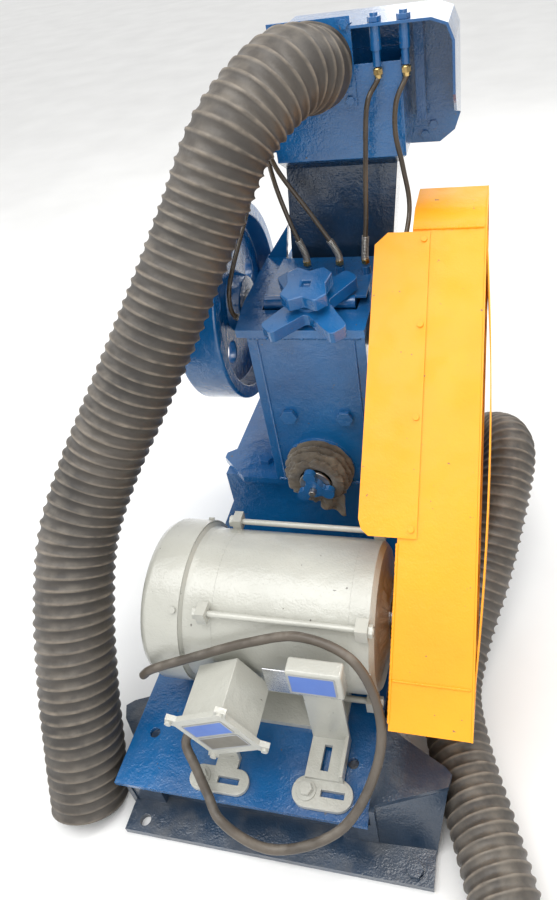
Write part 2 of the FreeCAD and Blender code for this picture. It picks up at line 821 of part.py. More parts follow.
def inside_guard(point):
    """True when a point lies inside the guard outline by a safe edge margin."""
    flat = inset(guard_outline, 12)
    count = len(flat)
    for i in range(count):
        a, b = flat[i], flat[(i + 1) % count]
        cross = (b[0] - a[0]) * (point.z - a[1]) - (b[1] - a[1]) * (point.y - a[0])
        if cross > 0:
            return False
    return True


mesh = doc.addObject("Part::Feature", "mesh_sheet")
mesh.Shape = expanded_mesh()
keep(fuse("mesh_panel", mesh_frame, mesh), "guard_mesh")

shield_left = guard_left - 59
shield_right = guard_left + 28
shield_low = 262
shield_high = 738
shield_holes = [(shield_right - 9, s, 2.6) for s in (275, 440, 585, 725)]
shield = plate("shield", "XY_Plane", [
    (shield_left + 16, shield_low), (shield_right, shield_low), (shield_right, shield_high),
    (shield_left + 20, shield_high), (shield_left, shield_high - 20),
    (shield_left, shield_low + 24), (shield_left + 5, shield_low + 9)], 0.1, 3, shield_holes)
place(shield, 0, guard_y, guard_low, (1, 0, 0), guard_slope)
keep(shield, "guard_shield")

guard_screws = []
for x, s, radius in shield_holes:
    head = rod("guard_screw_head", "Z", 5, 3.1, 3, x, s)
    stem = rod("guard_screw_stem", "Z", 2.5, 0.15, 4, x, s)
    screw = fuse("guard_screw", head, stem)
    place(screw, 0, guard_y, guard_low, (1, 0, 0), guard_slope)
    guard_screws.append(screw)
keep(group("guard_screw_set", *guard_screws), "guard_screws")

# ---------------------------------------------------------------- main shaft and flywheel
eccentric_radius = 32
eccentric_left = body_left + 26
eccentric_right = body_right - 26
shaft_solid = fuse(
    "eccentric_shaft_solid",
    rod("shaft_journal", "X", journal_radius, wheel_left - 8,
        sheave_left + sheave_width + 8 - (wheel_left - 8), main_y, main_z),
    rod("eccentric", "X", eccentric_radius, eccentric_left, eccentric_right - eccentric_left,
        main_y, main_z + throw))
keep(shaft_solid, "eccentric_shaft")

rim_inner = wheel_radius - 24
web_left = wheel_left + 34
web_right = wheel_left + 50
wheel_right = wheel_left + wheel_width
flywheel = turned("wheel", [
    (wheel_left, rim_inner), (wheel_left, wheel_radius - 3), (wheel_left + 3, wheel_radius),
    (wheel_right - 3, wheel_radius), (wheel_right, wheel_radius - 3), (wheel_right, rim_inner),
    (web_right, rim_inner - 6), (web_right, 56), (wheel_right - 6, 46),
    (wheel_right - 6, journal_radius + 0.02), (wheel_left + 4, journal_radius + 0.02),
    (wheel_left + 4, 46), (web_left, 56), (web_left, rim_inner - 6)], main_y, main_z)
hole_sketch = sketch(flywheel, "YZ_Plane", web_right + 1)
circle(hole_sketch, 98 * math.cos(math.radians(10)), 98 * math.sin(math.radians(10)), 21)
hole_cut = pocket(flywheel, hole_sketch, 20)
polar(flywheel, hole_cut, "X_Axis", 5)
keep(flywheel, "flywheel")

bearing_radius = journal_radius + 12
blocks = []
for inner_x in (body_left - 36, body_right + 0.1):
    outer_x = inner_x + 35.9
    block = box("bearing_block", inner_x, outer_x, main_y - 58, main_y + 58, main_z - 58,
                body_top - 0.5)
    bore = rod("bearing_bore", "X", bearing_radius, inner_x - 1, 40, main_y, main_z)
    nipple = rod("bearing_nipple", "Y", 5, main_y - 70, 13, inner_x + 18, main_z + 20)
    blocks.append(fuse("bearing_housing", cut("bearing_block_cut", block, bore), nipple))
keep(group("bearing_housing_set", *blocks), "bearing_housings")
keep(group("main_bearing_set", *[
    ring("main_bearing", "X", bearing_radius - 0.02, journal_radius + fit_gap, x, 30, main_y,
         main_z) for x in (body_left - 33, body_right + 3)]), "main_bearings")

# ---------------------------------------------------------------- mill body
flange_low = body_low - flange_thick
bolt_radius = 8
shaft_hole = journal_radius + 10


def mirrored(x):
    return 2 * body_middle - x


flange_half = [
    (body_middle - 168, body_y), (body_middle - 221, body_y + 52),
    (body_middle - 221, body_y + 66), (body_middle - 162, body_y + 110),
    (body_middle - 122, body_y + 125), (body_middle - 122, body_rear + 10)]
flange_points = flange_half + [(mirrored(x), y) for x, y in reversed(flange_half)]
flange_bolts_at = [(body_middle - 134, body_y + 50), (body_middle + 134, body_y + 50)]
flange_opening = (body_left + 26, body_right - 26, body_y + 100, body_y + 260)


def mill_body():
    pieces = [
        plate("base_flange", "XY_Plane", flange_points, flange_low, flange_thick,
              [(x, y, bolt_radius + 0.5) for x, y in flange_bolts_at]),
        box("left_plate", body_left, body_left + wall_thick, body_y, body_rear, body_low,
            body_top),
        box("right_plate", body_right - wall_thick, body_right, body_y, body_rear, body_low,
            body_top),
        box("left_return", body_left, body_left + 17, body_y, body_y + 8, body_low, body_top),
        box("right_return", body_right - 17, body_right, body_y, body_y + 8, body_low,
            body_top),
        box("rear_plate", body_left, body_right, body_rear, body_rear + 10, body_low,
            body_top)]
    x0, x1, y0, y1 = flange_opening
    opening = box("grain_outlet", x0, x1, y0, y1, flange_low - 1, body_low + 1)
    shaft_way = rod("shaft_way", "X", shaft_hole, body_left - 1, 2 * body_half + 2, main_y,
                    main_z)
    return cut("mill_body_cut", fuse("mill_body_solid", *pieces), opening, shaft_way)


keep(mill_body(), "mill_body")

rod_x = body_middle - 8
rod_z = body_low + 42
block_z = body_low + 60
bolt_z = body_low + 156
panel_bolts_at = [(body_middle - 49.5, bolt_z), (body_middle + 49.5, bolt_z)]
drain_x = body_left + 28

panel_holes = [(rod_x, rod_z, 10), (drain_x, body_low + 20, 9)]
panel_holes += [(x, z, bolt_radius + 0.5) for x, z in panel_bolts_at]
panel = plate("panel", "XZ_Plane", [
    (body_left + 17.2, body_low + 0.1), (body_right - 17.2, body_low + 0.1),
    (body_right - 17.2, body_top), (body_left + 17.2, body_top)],
    -(body_y + 8), 8, panel_holes)
boot_seat = ring("boot_seat", "Y", 62, 40, body_y - 6, 6, rod_x, rod_z)
keep(fuse("front_panel_fuse", panel, boot_seat), "front_panel")

body_bolts = [
    bolt("panel_bolt", "Y", 27, body_y, -1, 9, bolt_radius, 30, x, z)
    for x, z in panel_bolts_at]
body_bolts += [
    bolt("flange_bolt", "Z", 27, body_low, 1, 9, bolt_radius, 30, x, y)
    for x, y in flange_bolts_at]
keep(group("body_bolt_set", *body_bolts), "body_bolts")


# ---------------------------------------------------------------- pedestal
def hollow(name, stations, wall, below, above):
    """Tapered sheet box: each station gives z, x0, x1, y0, y1 from the bottom up."""
    def solid(tag, shrink, low, high):
        sections = [list(station) for station in stations]
        sections[0][0] = as_size(sections[0][0]) - low
        sections[-1][0] = as_size(sections[-1][0]) + high
        front_view = [(x0 + shrink, z) for z, x0, x1, y0, y1 in sections]
        front_view += [(x1 - shrink, z) for z, x0, x1, y0, y1 in reversed(sections)]
        side_view = [(y0 + shrink, z) for z, x0, x1, y0, y1 in sections]
        side_view += [(y1 - shrink, z) for z, x0, x1, y0, y1 in reversed(sections)]
        common = doc.addObject("Part::MultiCommon", name + tag)
        common.Shapes = [
            plate(name + tag + "_front", "XZ_Plane", front_view, -base_depth, 2 * base_depth),
            plate(name + tag + "_side", "YZ_Plane", side_view, -base_depth, 2 * base_depth)]
        return common

    return solid("_outer", 0, 0, 0), solid("_inner", wall, below, above)


pedestal_wide = pedestal_half + 38
pedestal_front = back(560)
pedestal_rear = back(860)
outer, inner = hollow("pedestal", [
    (foot_thick, -pedestal_wide, pedestal_wide, pedestal_front - 25, pedestal_rear),
    (100, -pedestal_wide, pedestal_wide, pedestal_front - 25, pedestal_rear),
    (180, -pedestal_half, pedestal_half, pedestal_front, pedestal_rear),
    (flange_low, -pedestal_half, pedestal_half, pedestal_front, pedestal_rear)], 8, 1, -8)
spout_y = back(790)
spout_z = 170
spout_radius = small_hose - hose_wall - 3
x0, x1, y0, y1 = flange_opening
inlet = box("pedestal_inlet", x0, x1, y0, y1, flange_low - 20, flange_low + 1)
spout_way = rod("spout_way", "X", spout_radius - 4, pedestal_half - 30, 110, spout_y, spout_z)
bolt_ways = [rod("pedestal_bolt_way", "Z", bolt_radius + 0.5, flange_low - 20, 21, x, y)
             for x, y in flange_bolts_at]
spout = rod("spout", "X", spout_radius, pedestal_half, 54, spout_y, spout_z)
skin = cut("pedestal_skin", fuse("pedestal_block", outer, spout), inner)
keep(cut("pedestal_cut", skin, inlet, spout_way, *bolt_ways), "pedestal")

# ---------------------------------------------------------------- jaws and toggle
jaw_left = body_left + 24
jaw_right = body_right - 24
jaw_y = main_y
jaw_z = main_z + throw
jaw_outline = [
    (jaw_y - 43, jaw_z - 11), (jaw_y - 30, jaw_z - 130), (jaw_y + 1, jaw_z - 259),
    (jaw_y + 30, jaw_z - 274), (jaw_y + 93, jaw_z - 269), (jaw_y + 47, jaw_z + 16)]
jaw_arm = plate("jaw_arm", "YZ_Plane", jaw_outline, jaw_left, jaw_right - jaw_left)
jaw_barrel = rod("jaw_barrel", "X", 50, jaw_left, jaw_right - jaw_left, jaw_y, jaw_z)
jaw_bore = rod("jaw_bore", "X", eccentric_radius + fit_gap, jaw_left - 1,
               jaw_right - jaw_left + 2, jaw_y, jaw_z)
rod_pocket = rod("rod_pocket", "Y", 12.5, jaw_y - 20, 70, rod_x, rod_z + throw)
jaw = cut("swing_jaw_cut", fuse("swing_jaw_solid", jaw_arm, jaw_barrel), jaw_bore, rod_pocket)
keep(jaw, "swing_jaw")

jaw_face = [(jaw_y + 50.6, jaw_z - 6), (jaw_y + 93.2, jaw_z - 264), (jaw_y + 107, jaw_z - 262),
            (jaw_y + 64.5, jaw_z - 2)]
keep(plate("jaw_plate", "YZ_Plane", jaw_face, jaw_left, jaw_right - jaw_left),
     "swing_jaw_plate")

grip = body_low + 30
keep(box("fixed_jaw", body_left + 10.2, body_right - 10.2, body_rear - 22, body_rear - 0.2, grip,
         body_top - 2), "fixed_jaw_plate")
cheeks = []
for x in (body_left + 10.2, body_right - 16):
    cheeks.append(box("cheek", x, x + 5.8, body_rear - 100, body_rear - 22.5, grip,
                      body_top - 6))
keep(group("cheek_set", *cheeks), "cheek_plates")

block_face = body_y + 60
toggle_block = box("toggle_back", jaw_left + 2, jaw_right - 2, body_y + 8.2, block_face,
                   block_z, body_low + 180)
seat = rod("toggle_seat", "X", 9, jaw_left, jaw_right - jaw_left, block_face, rod_z + 35)
thread_ways = [rod("thread_way", "Y", bolt_radius + 0.05, body_y, 40, x, z)
               for x, z in panel_bolts_at]
keep(cut("toggle_block_cut", toggle_block, seat, *thread_ways), "toggle_block")

toggle_start = (block_face + 0.5, rod_z + 35)
toggle_end = (jaw_y - 14, rod_z + 20)
toggle_rise = math.degrees(math.atan2(float(toggle_end[1]) - float(toggle_start[1]),
                                      float(toggle_end[0]) - float(toggle_start[0])))
toggle_span = math.hypot(float(toggle_end[1]) - float(toggle_start[1]),
                         float(toggle_end[0]) - float(toggle_start[0]))
toggle = fuse("toggle_solid",
              box("toggle_web", jaw_left + 6, jaw_right - 6, 0, toggle_span, -7, 7),
              rod("toggle_nose", "X", 8, jaw_left + 6, jaw_right - jaw_left - 12, 0, 0))
place(toggle, 0, toggle_start[0], toggle_start[1], (1, 0, 0), toggle_rise)
keep(toggle, "toggle_plate")

# ---------------------------------------------------------------- tension rod, boot and hand nut
rod_radius = 6
rod_front = body_y - 78


def turned_y(name, profile, x, z):
    """A round part on an axis along Y: the profile gives y and radius pairs."""
    body = new_body(name)
    outline = sketch(body, "YZ_Plane")
    polygon(outline, profile)
    item = body.newObject("PartDesign::Revolution", name + "_turn")
    item.Profile = outline
    item.ReferenceAxis = (outline, ["H_Axis"])
    item.Angle = 360
    outline.Visibility = False
    place(body, x, 0, z)
    return body


keep(fuse("tension_rod_fuse",
          rod("rod_shank", "Y", rod_radius, rod_front, jaw_y + 30 - rod_front, rod_x, rod_z),
          rod("rod_head", "Y", 8.5, jaw_y + 24, 10, rod_x, rod_z)), "tension_rod")

boot_rear = body_y - 6.2
boot_folds = 3
fold = 14
boot_outline = [(boot_rear, 60)]
for number in range(boot_folds):
    boot_outline.append((boot_rear - fold * (number + 0.5), 62))
    boot_outline.append((boot_rear - fold * (number + 1), 55 - 2 * number))
boot_front = boot_rear - fold * boot_folds
boot_outline += [(boot_front, 38), (boot_rear, 38)]
keep(turned_y("boot", boot_outline, rod_x, rod_z), "canvas_boot")


def spring(name, radius, wire, start, length, turns, x, z):
    helix = Part.makeHelix(length / turns, length, radius)
    begin = V(radius, 0, 0)
    profile = Part.Wire(Part.makeCircle(wire, begin, V(0, 1, 0)))
    shape = Part.Wire(helix.Edges).makePipeShell([profile], True, True)
    item = doc.addObject("Part::Feature", name)
    item.Shape = shape
    return place(item, x, start, z, (1, 0, 0), -90)


spring_front = boot_front + 3
keep(spring("coil", 17, 2.5, spring_front, 41, 5, rod_x, rod_z), "tension_spring")

washer_rear = boot_front - 0.2
keep(ring("pressure_washer", "Y", 28, rod_radius + fit_gap, washer_rear - 4, 4, rod_x, rod_z),
     "spring_washer")

nut_rear = washer_rear - 4.2
nut_thick = 14
nut_items = [rod("nut_hub", "Y", 17, nut_rear - nut_thick, nut_thick, rod_x, rod_z)]
for angle in (100, 220, 340):
    for reach, radius in ((14, 10), (27, 11)):
        nut_items.append(rod("nut_lobe", "Y", radius, nut_rear - nut_thick + 1, nut_thick - 2,
                             rod_x + reach * cosine(angle), rod_z + reach * sine(angle)))
nut_bore = rod("nut_bore", "Y", rod_radius + fit_gap, nut_rear - nut_thick - 1, nut_thick + 2,
               rod_x, rod_z)
keep(cut("boot_nut_cut", fuse("boot_nut_solid", *nut_items), nut_bore), "boot_nut")

# ---------------------------------------------------------------- top frame and adjusting screw
screw_radius = 10
screw_x = body_middle + 11
screw_y = body_y + 33
arm_rear = body_y + 265
bar_rear = body_y + 57
frame_left = body_left - 30
frame_right = body_right + 2
frame_plate = plate("frame_plate", "XY_Plane", [
    (frame_left + 16, body_y - 7), (frame_right, body_y - 7), (frame_right, arm_rear),
    (frame_right - 22, arm_rear), (frame_right - 22, bar_rear),
    (body_left + 14, bar_rear), (body_left + 8, arm_rear), (frame_left, arm_rear),
    (frame_left + 4, body_y + 81)], body_top + 0.2, flange_thick - 0.2)
finger = plate("frame_finger", "XZ_Plane", [
    (frame_left, frame_top - 2), (body_left + 8, frame_top - 2), (body_left + 20, frame_top + 63)],
    -arm_rear, 12)


def tilted(item, drop=0):
    """Put an item drawn about the adjusting screw axis into the tilted frame."""
    return place(item, screw_x, screw_y + drop * sine(knob_tilt),
                 frame_top - drop * cosine(knob_tilt), (1, 0, 0), knob_tilt)


def local_rod(name, radius, z0, z1, x=0, y=0):
    return rod(name, "Z", radius, z0, z1 - z0, x, y)


boss = tilted(fuse("screw_boss", local_rod("boss_body", 24, -20, 12),
                   local_rod("boss_root", 22, -22, -19)))
boss_limit = box("boss_limit", screw_x - 60, screw_x + 60, screw_y - 70, screw_y + 70,
                 body_top + 0.2, frame_top + 60)
boss_top = doc.addObject("Part::MultiCommon", "boss_top")
boss_top.Shapes = [boss, boss_limit]
screw_way = tilted(fuse("screw_way", local_rod("screw_way_body", screw_radius + fit_gap, -60, 20),
                        local_rod("screw_way_end", screw_radius, -61, -59)))
frame = cut("top_frame_cut", fuse("top_frame_solid", frame_plate, finger, boss_top), screw_way)
keep(frame, "top_frame")


def lobed(name, lobes, tip, tip_half, root, z0, z1, edge):
    """A flat hand wheel: blunt lobes at the given angles with hollows between them."""
    points = []
    count = len(lobes)
    for number, angle in enumerate(lobes):
        a = math.radians(angle)
        for lateral in (-tip_half, tip_half):
            points.append((tip * math.cos(a) - lateral * math.sin(a),
                           tip * math.sin(a) + lateral * math.cos(a)))
        following = lobes[(number + 1) % count] + (360 if number == count - 1 else 0)
        between = math.radians((angle + following) / 2)
        points.append((root * math.cos(between), root * math.sin(between)))
    body = plate(name, "XY_Plane", points, z0, z1 - z0)
    round_edges(body, edge, lambda e: along_axis(e, (0, 0, 1)))
    return body


wheel_lobes = (-133, -49, 48, 130)
wheel = fuse("star_solid", lobed("star_plate", wheel_lobes, 88, 15, 30, 14, 36, 9),
             local_rod("star_hub", 26, 12.2, 40))
star = cut("star_cut", wheel, local_rod("star_bore", screw_radius + fit_gap, 10, 45))
keep(tilted(star), "star_wheel")

knob = fuse("knob_solid", lobed("knob_plate", wheel_lobes, 44, 11, 31, 48, 72, 6),
            local_rod("knob_neck", 18, 40.4, 48.5),
            local_rod("screw_shank", screw_radius, -150, 50))
recess = box("knob_recess", -7, 7, -7, 7, 64, 73)
keep(tilted(cut("knob_cut", knob, recess)), "adjusting_screw")

wedge = cut("wedge_cut", box("wedge_block", -30, 30, -22, 22, -138, -104),
            local_rod("wedge_bore", screw_radius + fit_gap, -140, -100))
keep(tilted(wedge), "adjusting_wedge")

# ---------------------------------------------------------------- shaft cover
cover_rear = body_y + 212
cover_front = body_y + 71
cover_low = frame_top + 13
roll_radius = 12
cover_x0 = body_left + 16
cover_x1 = body_right - 6
line_ends = [(cover_x1 - 11, main_y - 25), (48, main_y - 25), (-9, main_y - 25)]
cover = fuse(
    "shaft_cover_fuse",
    box("cover_sheet", cover_x0, cover_x1, cover_front, cover_rear, cover_low, cover_low + 4),
    rod("cover_roll", "X", roll_radius, cover_x0 + 2, frame_right - 25 - cover_x0 - 2,
        cover_front, cover_low - 6.5),
    box("cover_foot_left", cover_x0, cover_x0 + 8, cover_front + 30, cover_rear, frame_top + 0.2,
        cover_low + 1),
    box("cover_foot_right", cover_x1 - 8, cover_x1, cover_front + 30, cover_rear,
        frame_top + 0.2, cover_low + 1),
    *[rod("line_boss", "Z", 8, cover_low + 2, 16, x, y) for x, y in line_ends])
keep(cover, "shaft_cover")

# ---------------------------------------------------------------- feed hopper and hood
hopper_rear = hopper_y + hopper_depth
duct_x = hopper_left + 80
duct_z = hopper_top + 4
outer, inner = hollow("hopper", [
    (frame_top + 0.5, body_left + 24, body_right + 15, hopper_y + 34, hopper_rear - 2),
    (hopper_low - 22, hopper_left + 2, hopper_right - 20, hopper_y + 34, hopper_rear - 2),
    (hopper_low, hopper_left, hopper_right, hopper_y, hopper_rear),
    (hopper_top, hopper_left, hopper_right, hopper_y, hopper_rear)], 4, 1, 1)
duct_way = rod("duct_way", "Y", 57, hopper_y - 5, 15, duct_x, duct_z)
adapter_half = 63
adapter_bolts_at = [(duct_x + 53 * a, duct_z + 53 * b) for a in (-1, 1) for b in (-1, 1)]
small_bolt = 4
duct_bolt_ways = [rod("duct_bolt_way", "Y", small_bolt + 0.3, hopper_y - 1, 8, x, z)
                  for x, z in adapter_bolts_at if float(z) < float(hopper_top)]
line_block = box("line_block", hopper_left - 20, hopper_left + 1, hopper_y + 12, hopper_y + 48,
                 hopper_low + 14, hopper_low + 60)
keep(fuse("feed_hopper_fuse", cut("feed_hopper_cut", outer, inner, duct_way, *duct_bolt_ways),
          line_block), "feed_hopper")

adapter_rear = hopper_y - 0.2
adapter = cut("adapter_cut",
              box("adapter_plate", duct_x - adapter_half, duct_x + adapter_half, adapter_rear - 6,
                  adapter_rear, duct_z - adapter_half, duct_z + adapter_half),
              rod("adapter_way", "Y", 57, adapter_rear - 7, 8, duct_x, duct_z),
              *[rod("adapter_bolt_way", "Y", small_bolt + 0.3, adapter_rear - 7, 8, x, z)
                for x, z in adapter_bolts_at])
keep(adapter, "adapter_flange")

hood_y = back(hood_set)
hood_thick = 4
back_face = hopper_rear + 0.2
fitting_at = [(hood_left + 145, hood_y + 14), (hood_left + 187, hood_y + 14)]
hood_bolts_at = [(hopper_right + 19, hopper_low - 3), (hopper_right + 34, hopper_low + 13)]
hood_back = plate("hood_back", "XZ_Plane", [
    (hood_left, hopper_low - 15), (hopper_right + 44, hopper_low - 17),
    (hood_right - 10, hopper_low + 2), (hood_right, hopper_low + 30), (hood_right, hood_top - 32),
    (hood_right - 9, hood_top - 9), (hood_right - 32, hood_top), (hood_left, hood_top)],
    -(back_face + hood_thick), hood_thick,
    [(x, z, small_bolt + 0.3) for x, z in hood_bolts_at])
hood_bend = plate("hood_bend", "XZ_Plane", [
    (hood_left, hood_top - hood_thick), (hood_left, hood_top), (hood_right - 32, hood_top),
    (hood_right - 9, hood_top - 9), (hood_right, hood_top - 32), (hood_right, hopper_low + 20),
    (hood_right - hood_thick, hopper_low + 20), (hood_right - hood_thick, hood_top - 33),
    (hood_right - 12, hood_top - 12), (hood_right - 33, hood_top - hood_thick)],
    -(back_face + 1), back_face + 1 - hood_y)
hood_outline = plate("hood_outline", "YZ_Plane", [
    (back_face + 1, hopper_low + 30), (hood_y + 26, hopper_low + 62), (hood_y, hopper_low + 92),
    (hood_y, hood_top), (back_face + 1, hood_top)], hood_left, hood_right - hood_left)
hood_cover = doc.addObject("Part::MultiCommon", "hood_cover")
hood_cover.Shapes = [hood_bend, hood_outline]
duct_notch = box("duct_notch", hood_left - 1, duct_x + adapter_half + 1.5, hood_y - 1,
                 adapter_rear + 5, hood_top - 6, hood_top + 1)
hood_sheet = cut("hood_sheet", hood_cover, duct_notch, *[
    rod("fitting_way", "Z", 6.2, hood_top - 10, 12, x, y) for x, y in fitting_at])
hood_post = box("hood_post", hopper_right + 10, hopper_right + 25, back_face - 30, back_face + 1,
                hopper_low + 30, hood_top - 1)
keep(fuse("hood_fuse", hood_back, hood_sheet, hood_post), "hood")

hopper_bolts = [bolt("duct_bolt", "Y", 13, adapter_rear - 6, -1, 5, small_bolt, 9, x, z)
                for x, z in adapter_bolts_at]
hopper_bolts += [bolt("hood_bolt", "Y", 13, back_face, -1, 5, small_bolt, 9, x, z)
                 for x, z in hood_bolts_at]
keep(group("hopper_bolt_set", *hopper_bolts), "hopper_bolts")

fittings = []
line_radius = 4
for x, y in fitting_at:
    fittings.append(fuse(
        "bulkhead_fitting",
        rod("fitting_stem", "Z", 6, hood_top - 40, 52, x, y),
        hexagon("fitting_nut", "Z", 18, hood_top + 0.1, 7, x, y),
        rod("fitting_cap", "Z", 8, hood_top - 38, 33.8, x, y),
        rod("fitting_barb", "Z", 6, hood_top - 60, 25, x, y)))
keep(group("fitting_set", *fittings), "bulkhead_fittings")


def line(name, points):
    return pipe(name, points, line_radius, 0)


def above_cover(number):
    x, y = line_ends[number]
    return [(x, y, cover_low + 38), (x, y, cover_low + 19.5)]


def into_block(x, side):
    """Last points of a line that comes round from outside into a bearing block."""
    y = main_y - 71.5
    z = main_z + 20
    return [(x + 24 * side, y - 36, z + 56), (x + 23 * side, y - 38, z + 14),
            (x + 8 * side, y - 24, z), (x, y - 10, z), (x, y, z)]


def below_fitting(number):
    x, y = fitting_at[number]
    return [(x, y, hood_top - 61.5), (x, y, hood_top - 76)]


side_y = hopper_y + 9.5
lines = [
    line("line_a", below_fitting(0) + [
        (hood_left + 131, hood_y - 10, hopper_low + 96),
        (hood_left + 120, hood_y - 12, hopper_low + 10),
        (hood_left + 113, hood_y - 22, hopper_low - 90)] + above_cover(0)),
    line("line_b", below_fitting(1) + [
        (hood_left + 172, hood_y + 2, hopper_low + 90),
        (hood_left + 168, hood_y - 4, hopper_low + 45),
        (hood_left + 177, hood_y - 8, hopper_low - 8),
        (hood_left + 184, hood_y - 12, hopper_low - 75)] + into_block(body_right + 18.1, 1)),
    line("line_c", [
        (hopper_left - 10, side_y, hopper_low + 46),
        (hopper_left - 12, side_y - 18, hopper_low + 38),
        (hopper_left + 4, side_y - 40, hopper_low + 6),
        (hopper_left + 60, side_y - 54, hopper_low - 80)] + above_cover(1)),
    line("line_d", [
        (hopper_left - 10, side_y, hopper_low + 28),
        (hopper_left - 12, side_y - 18, hopper_low + 16),
        (hopper_left - 2, side_y - 40, hopper_low - 20),
        (hopper_left + 20, side_y - 56, hopper_low - 90)] + above_cover(2)),
    line("line_e", [
        (hopper_left - 23, side_y + 20, hopper_low + 36),
        (hopper_left - 36, side_y + 16, hopper_low + 32),
        (hopper_left - 54, side_y - 30, hopper_low - 50)] + into_block(body_left - 18, -1))]
keep(group("line_set", *lines), "grease_lines")

# ---------------------------------------------------------------- hoses
left_path = [
    (duct_x, adapter_rear + 8, duct_z - 1), (duct_x, adapter_rear - 30, duct_z + 0.5),
    (12, back(654), 955), (-48, back(574), 906), (-108, back(520), 800),
    (-174, back(457), 680), (-245, back(394), 560), (-299, back(338), 465),
    (-332, back(276), 382), (-338, back(205), 290), (-334, back(140), 190),
    (-328, back(85), 95), (-325, back(38), 0), (-325, back(5), -80)]
hose = pipe("left_hose_run", left_path, hose_radius, hose_radius - hose_wall)
hose_cuts = [
    box("floor_cut", -600, 0, -800, 0, -300, 0),
    box("duct_cut", -100, 200, adapter_rear - 6.4, adapter_rear + 60, 700, 1100)]
keep(cut("left_hose_cut", hose, *hose_cuts), "left_hose")

right_path = [
    (pedestal_wide + 2, spout_y, spout_z), (pedestal_wide + 12, spout_y, spout_z),
    (312, back(764), 206), (336, back(690), 238), (326, back(590), 205),
    (298, back(480), 128), (264, back(370), 68), (250, back(280), 51),
    (270, back(180), 50.5), (311, back(65), 50.5), (350, back(-50), 50.5)]
keep(pipe("right_hose_run", right_path, small_hose, small_hose - hose_wall), "right_hose")

# ---------------------------------------------------------------- switch box
lid_x = -66
lid_y = back(80)
lid_z = 212
box_half = 40
box_depth = 85
lid_thick = 8
box_roll = -17
lean = 93


def box_frame(item):
    """Stand an item drawn on the switch box axis into its forward-facing place."""
    return place(item, lid_x, lid_y, lid_z, (1, 0, 0), lean)


def diamond(half):
    """A square standing on one corner, rolled a little about the box axis."""
    return [(half * 1.41421 * math.cos(math.radians(box_roll + 90 * n)),
             half * 1.41421 * math.sin(math.radians(box_roll + 90 * n))) for n in range(4)]


def lid_outline():
    points = []
    for number in range(4):
        a = math.radians(90 * number + 45 + box_roll)
        for u, v in ((box_half + 10, -box_half + 2), (box_half + 10, box_half - 2),
                     (box_half + 21, box_half + 9), (box_half + 9, box_half + 21)):
            points.append((u * math.cos(a) - v * math.sin(a), u * math.sin(a) + v * math.cos(a)))
    return points


def bracket_base(name, x0, x1, y, radius):
    """A flat foot with round ends."""
    return fuse(name,
                box(name + "_bar", x0 + radius, x1 - radius, y - radius, y + radius,
                    plate_high + 0.1, plate_high + bracket_foot),
                rod(name + "_left", "Z", radius, plate_high + 0.1, bracket_foot - 0.1,
                    x0 + radius, y),
                rod(name + "_right", "Z", radius, plate_high + 0.1, bracket_foot - 0.1,
                    x1 - radius, y))


case = cut("switch_case",
           plate("case_outer", "XY_Plane", diamond(box_half), -box_depth, box_depth),
           plate("case_inner", "XY_Plane", diamond(box_half - 4), -box_depth + 4, box_depth))
switch_bolt_x, switch_foot_y = bracket_bolts_at[0]
neck_x0 = -100
neck_x1 = -64
neck_y = lid_y + 18
foot_slot = box("foot_slot", -90, -56, switch_foot_y - 5, switch_foot_y + 5, plate_high - 1,
                plate_high + 12)
foot_hole = rod("foot_bolt_hole", "Z", motor_bolt_radius + 0.5, plate_high - 1, 12,
                switch_bolt_x, switch_foot_y)
foot = cut("switch_foot",
           fuse("switch_foot_solid", bracket_base("switch_base", -136, -40, switch_foot_y, 19),
                box("switch_tongue", neck_x0, neck_x1, switch_foot_y, neck_y + 8,
                    plate_high + 0.1, plate_high + bracket_foot)),
           foot_slot, foot_hole)
neck = box("switch_neck", neck_x0, neck_x1, neck_y, neck_y + 8, plate_high + 2, lid_z - 36)
keep(fuse("switch_box_fuse", box_frame(case), neck, foot), "switch_box")

screw_reach = (box_half + 11) * 1.41421
lid_screws = [rod("lid_screw", "Z", 5, lid_thick + 0.1, 4,
                  screw_reach * math.cos(math.radians(box_roll + 90 * n)),
                  screw_reach * math.sin(math.radians(box_roll + 90 * n))) for n in range(4)]
lid = plate("switch_lid", "XY_Plane", lid_outline(), 0.2, lid_thick)
keep(box_frame(fuse("switch_cover_fuse", lid, *lid_screws)), "switch_cover")

# ---------------------------------------------------------------- sensor on its slotted arm
arm_left = 44
arm_right = 104
arm_front = back(88)
arm_back = back(156)
strap_low = plate_high + 138
arm_bolt_x, arm_foot_y = bracket_bolts_at[1]
arm_foot = bracket_base("arm_foot", 28, 121, arm_foot_y, 23)
arm_slot = box("arm_slot", 66, 78, back(100), back(140), plate_high, plate_high + 30)
arm_foot_slot = box("arm_foot_slot", 72, 108, arm_foot_y - 5, arm_foot_y + 5,
                    plate_high - 1, plate_high + 12)
arm_foot_hole = rod("arm_foot_hole", "Z", motor_bolt_radius + 0.5, plate_high - 1, 12,
                    arm_bolt_x, arm_foot_y)
arm = fuse("arm_solid", arm_foot,
           box("arm_bar", arm_left, arm_right, arm_front, arm_back, plate_high + 6,
               plate_high + 14),
           box("arm_rib", arm_right - 6, arm_right, arm_front, arm_back, plate_high + 6,
               plate_high + 30),
           box("arm_riser", arm_left, arm_right, arm_back - 6, arm_back, plate_high + 6,
               strap_low + 14))
keep(cut("slotted_arm_cut", arm, arm_slot, arm_foot_slot, arm_foot_hole), "slotted_arm")

strap_rear = arm_back - 6.2
keep(fuse("strap_fuse",
          box("strap_plate", -8, 107, strap_rear - 3, strap_rear, strap_low, strap_low + 56),
          hexagon("strap_bolt", "Y", 13, strap_rear - 8, 6, 95, strap_low + 14)), "sensor_strap")

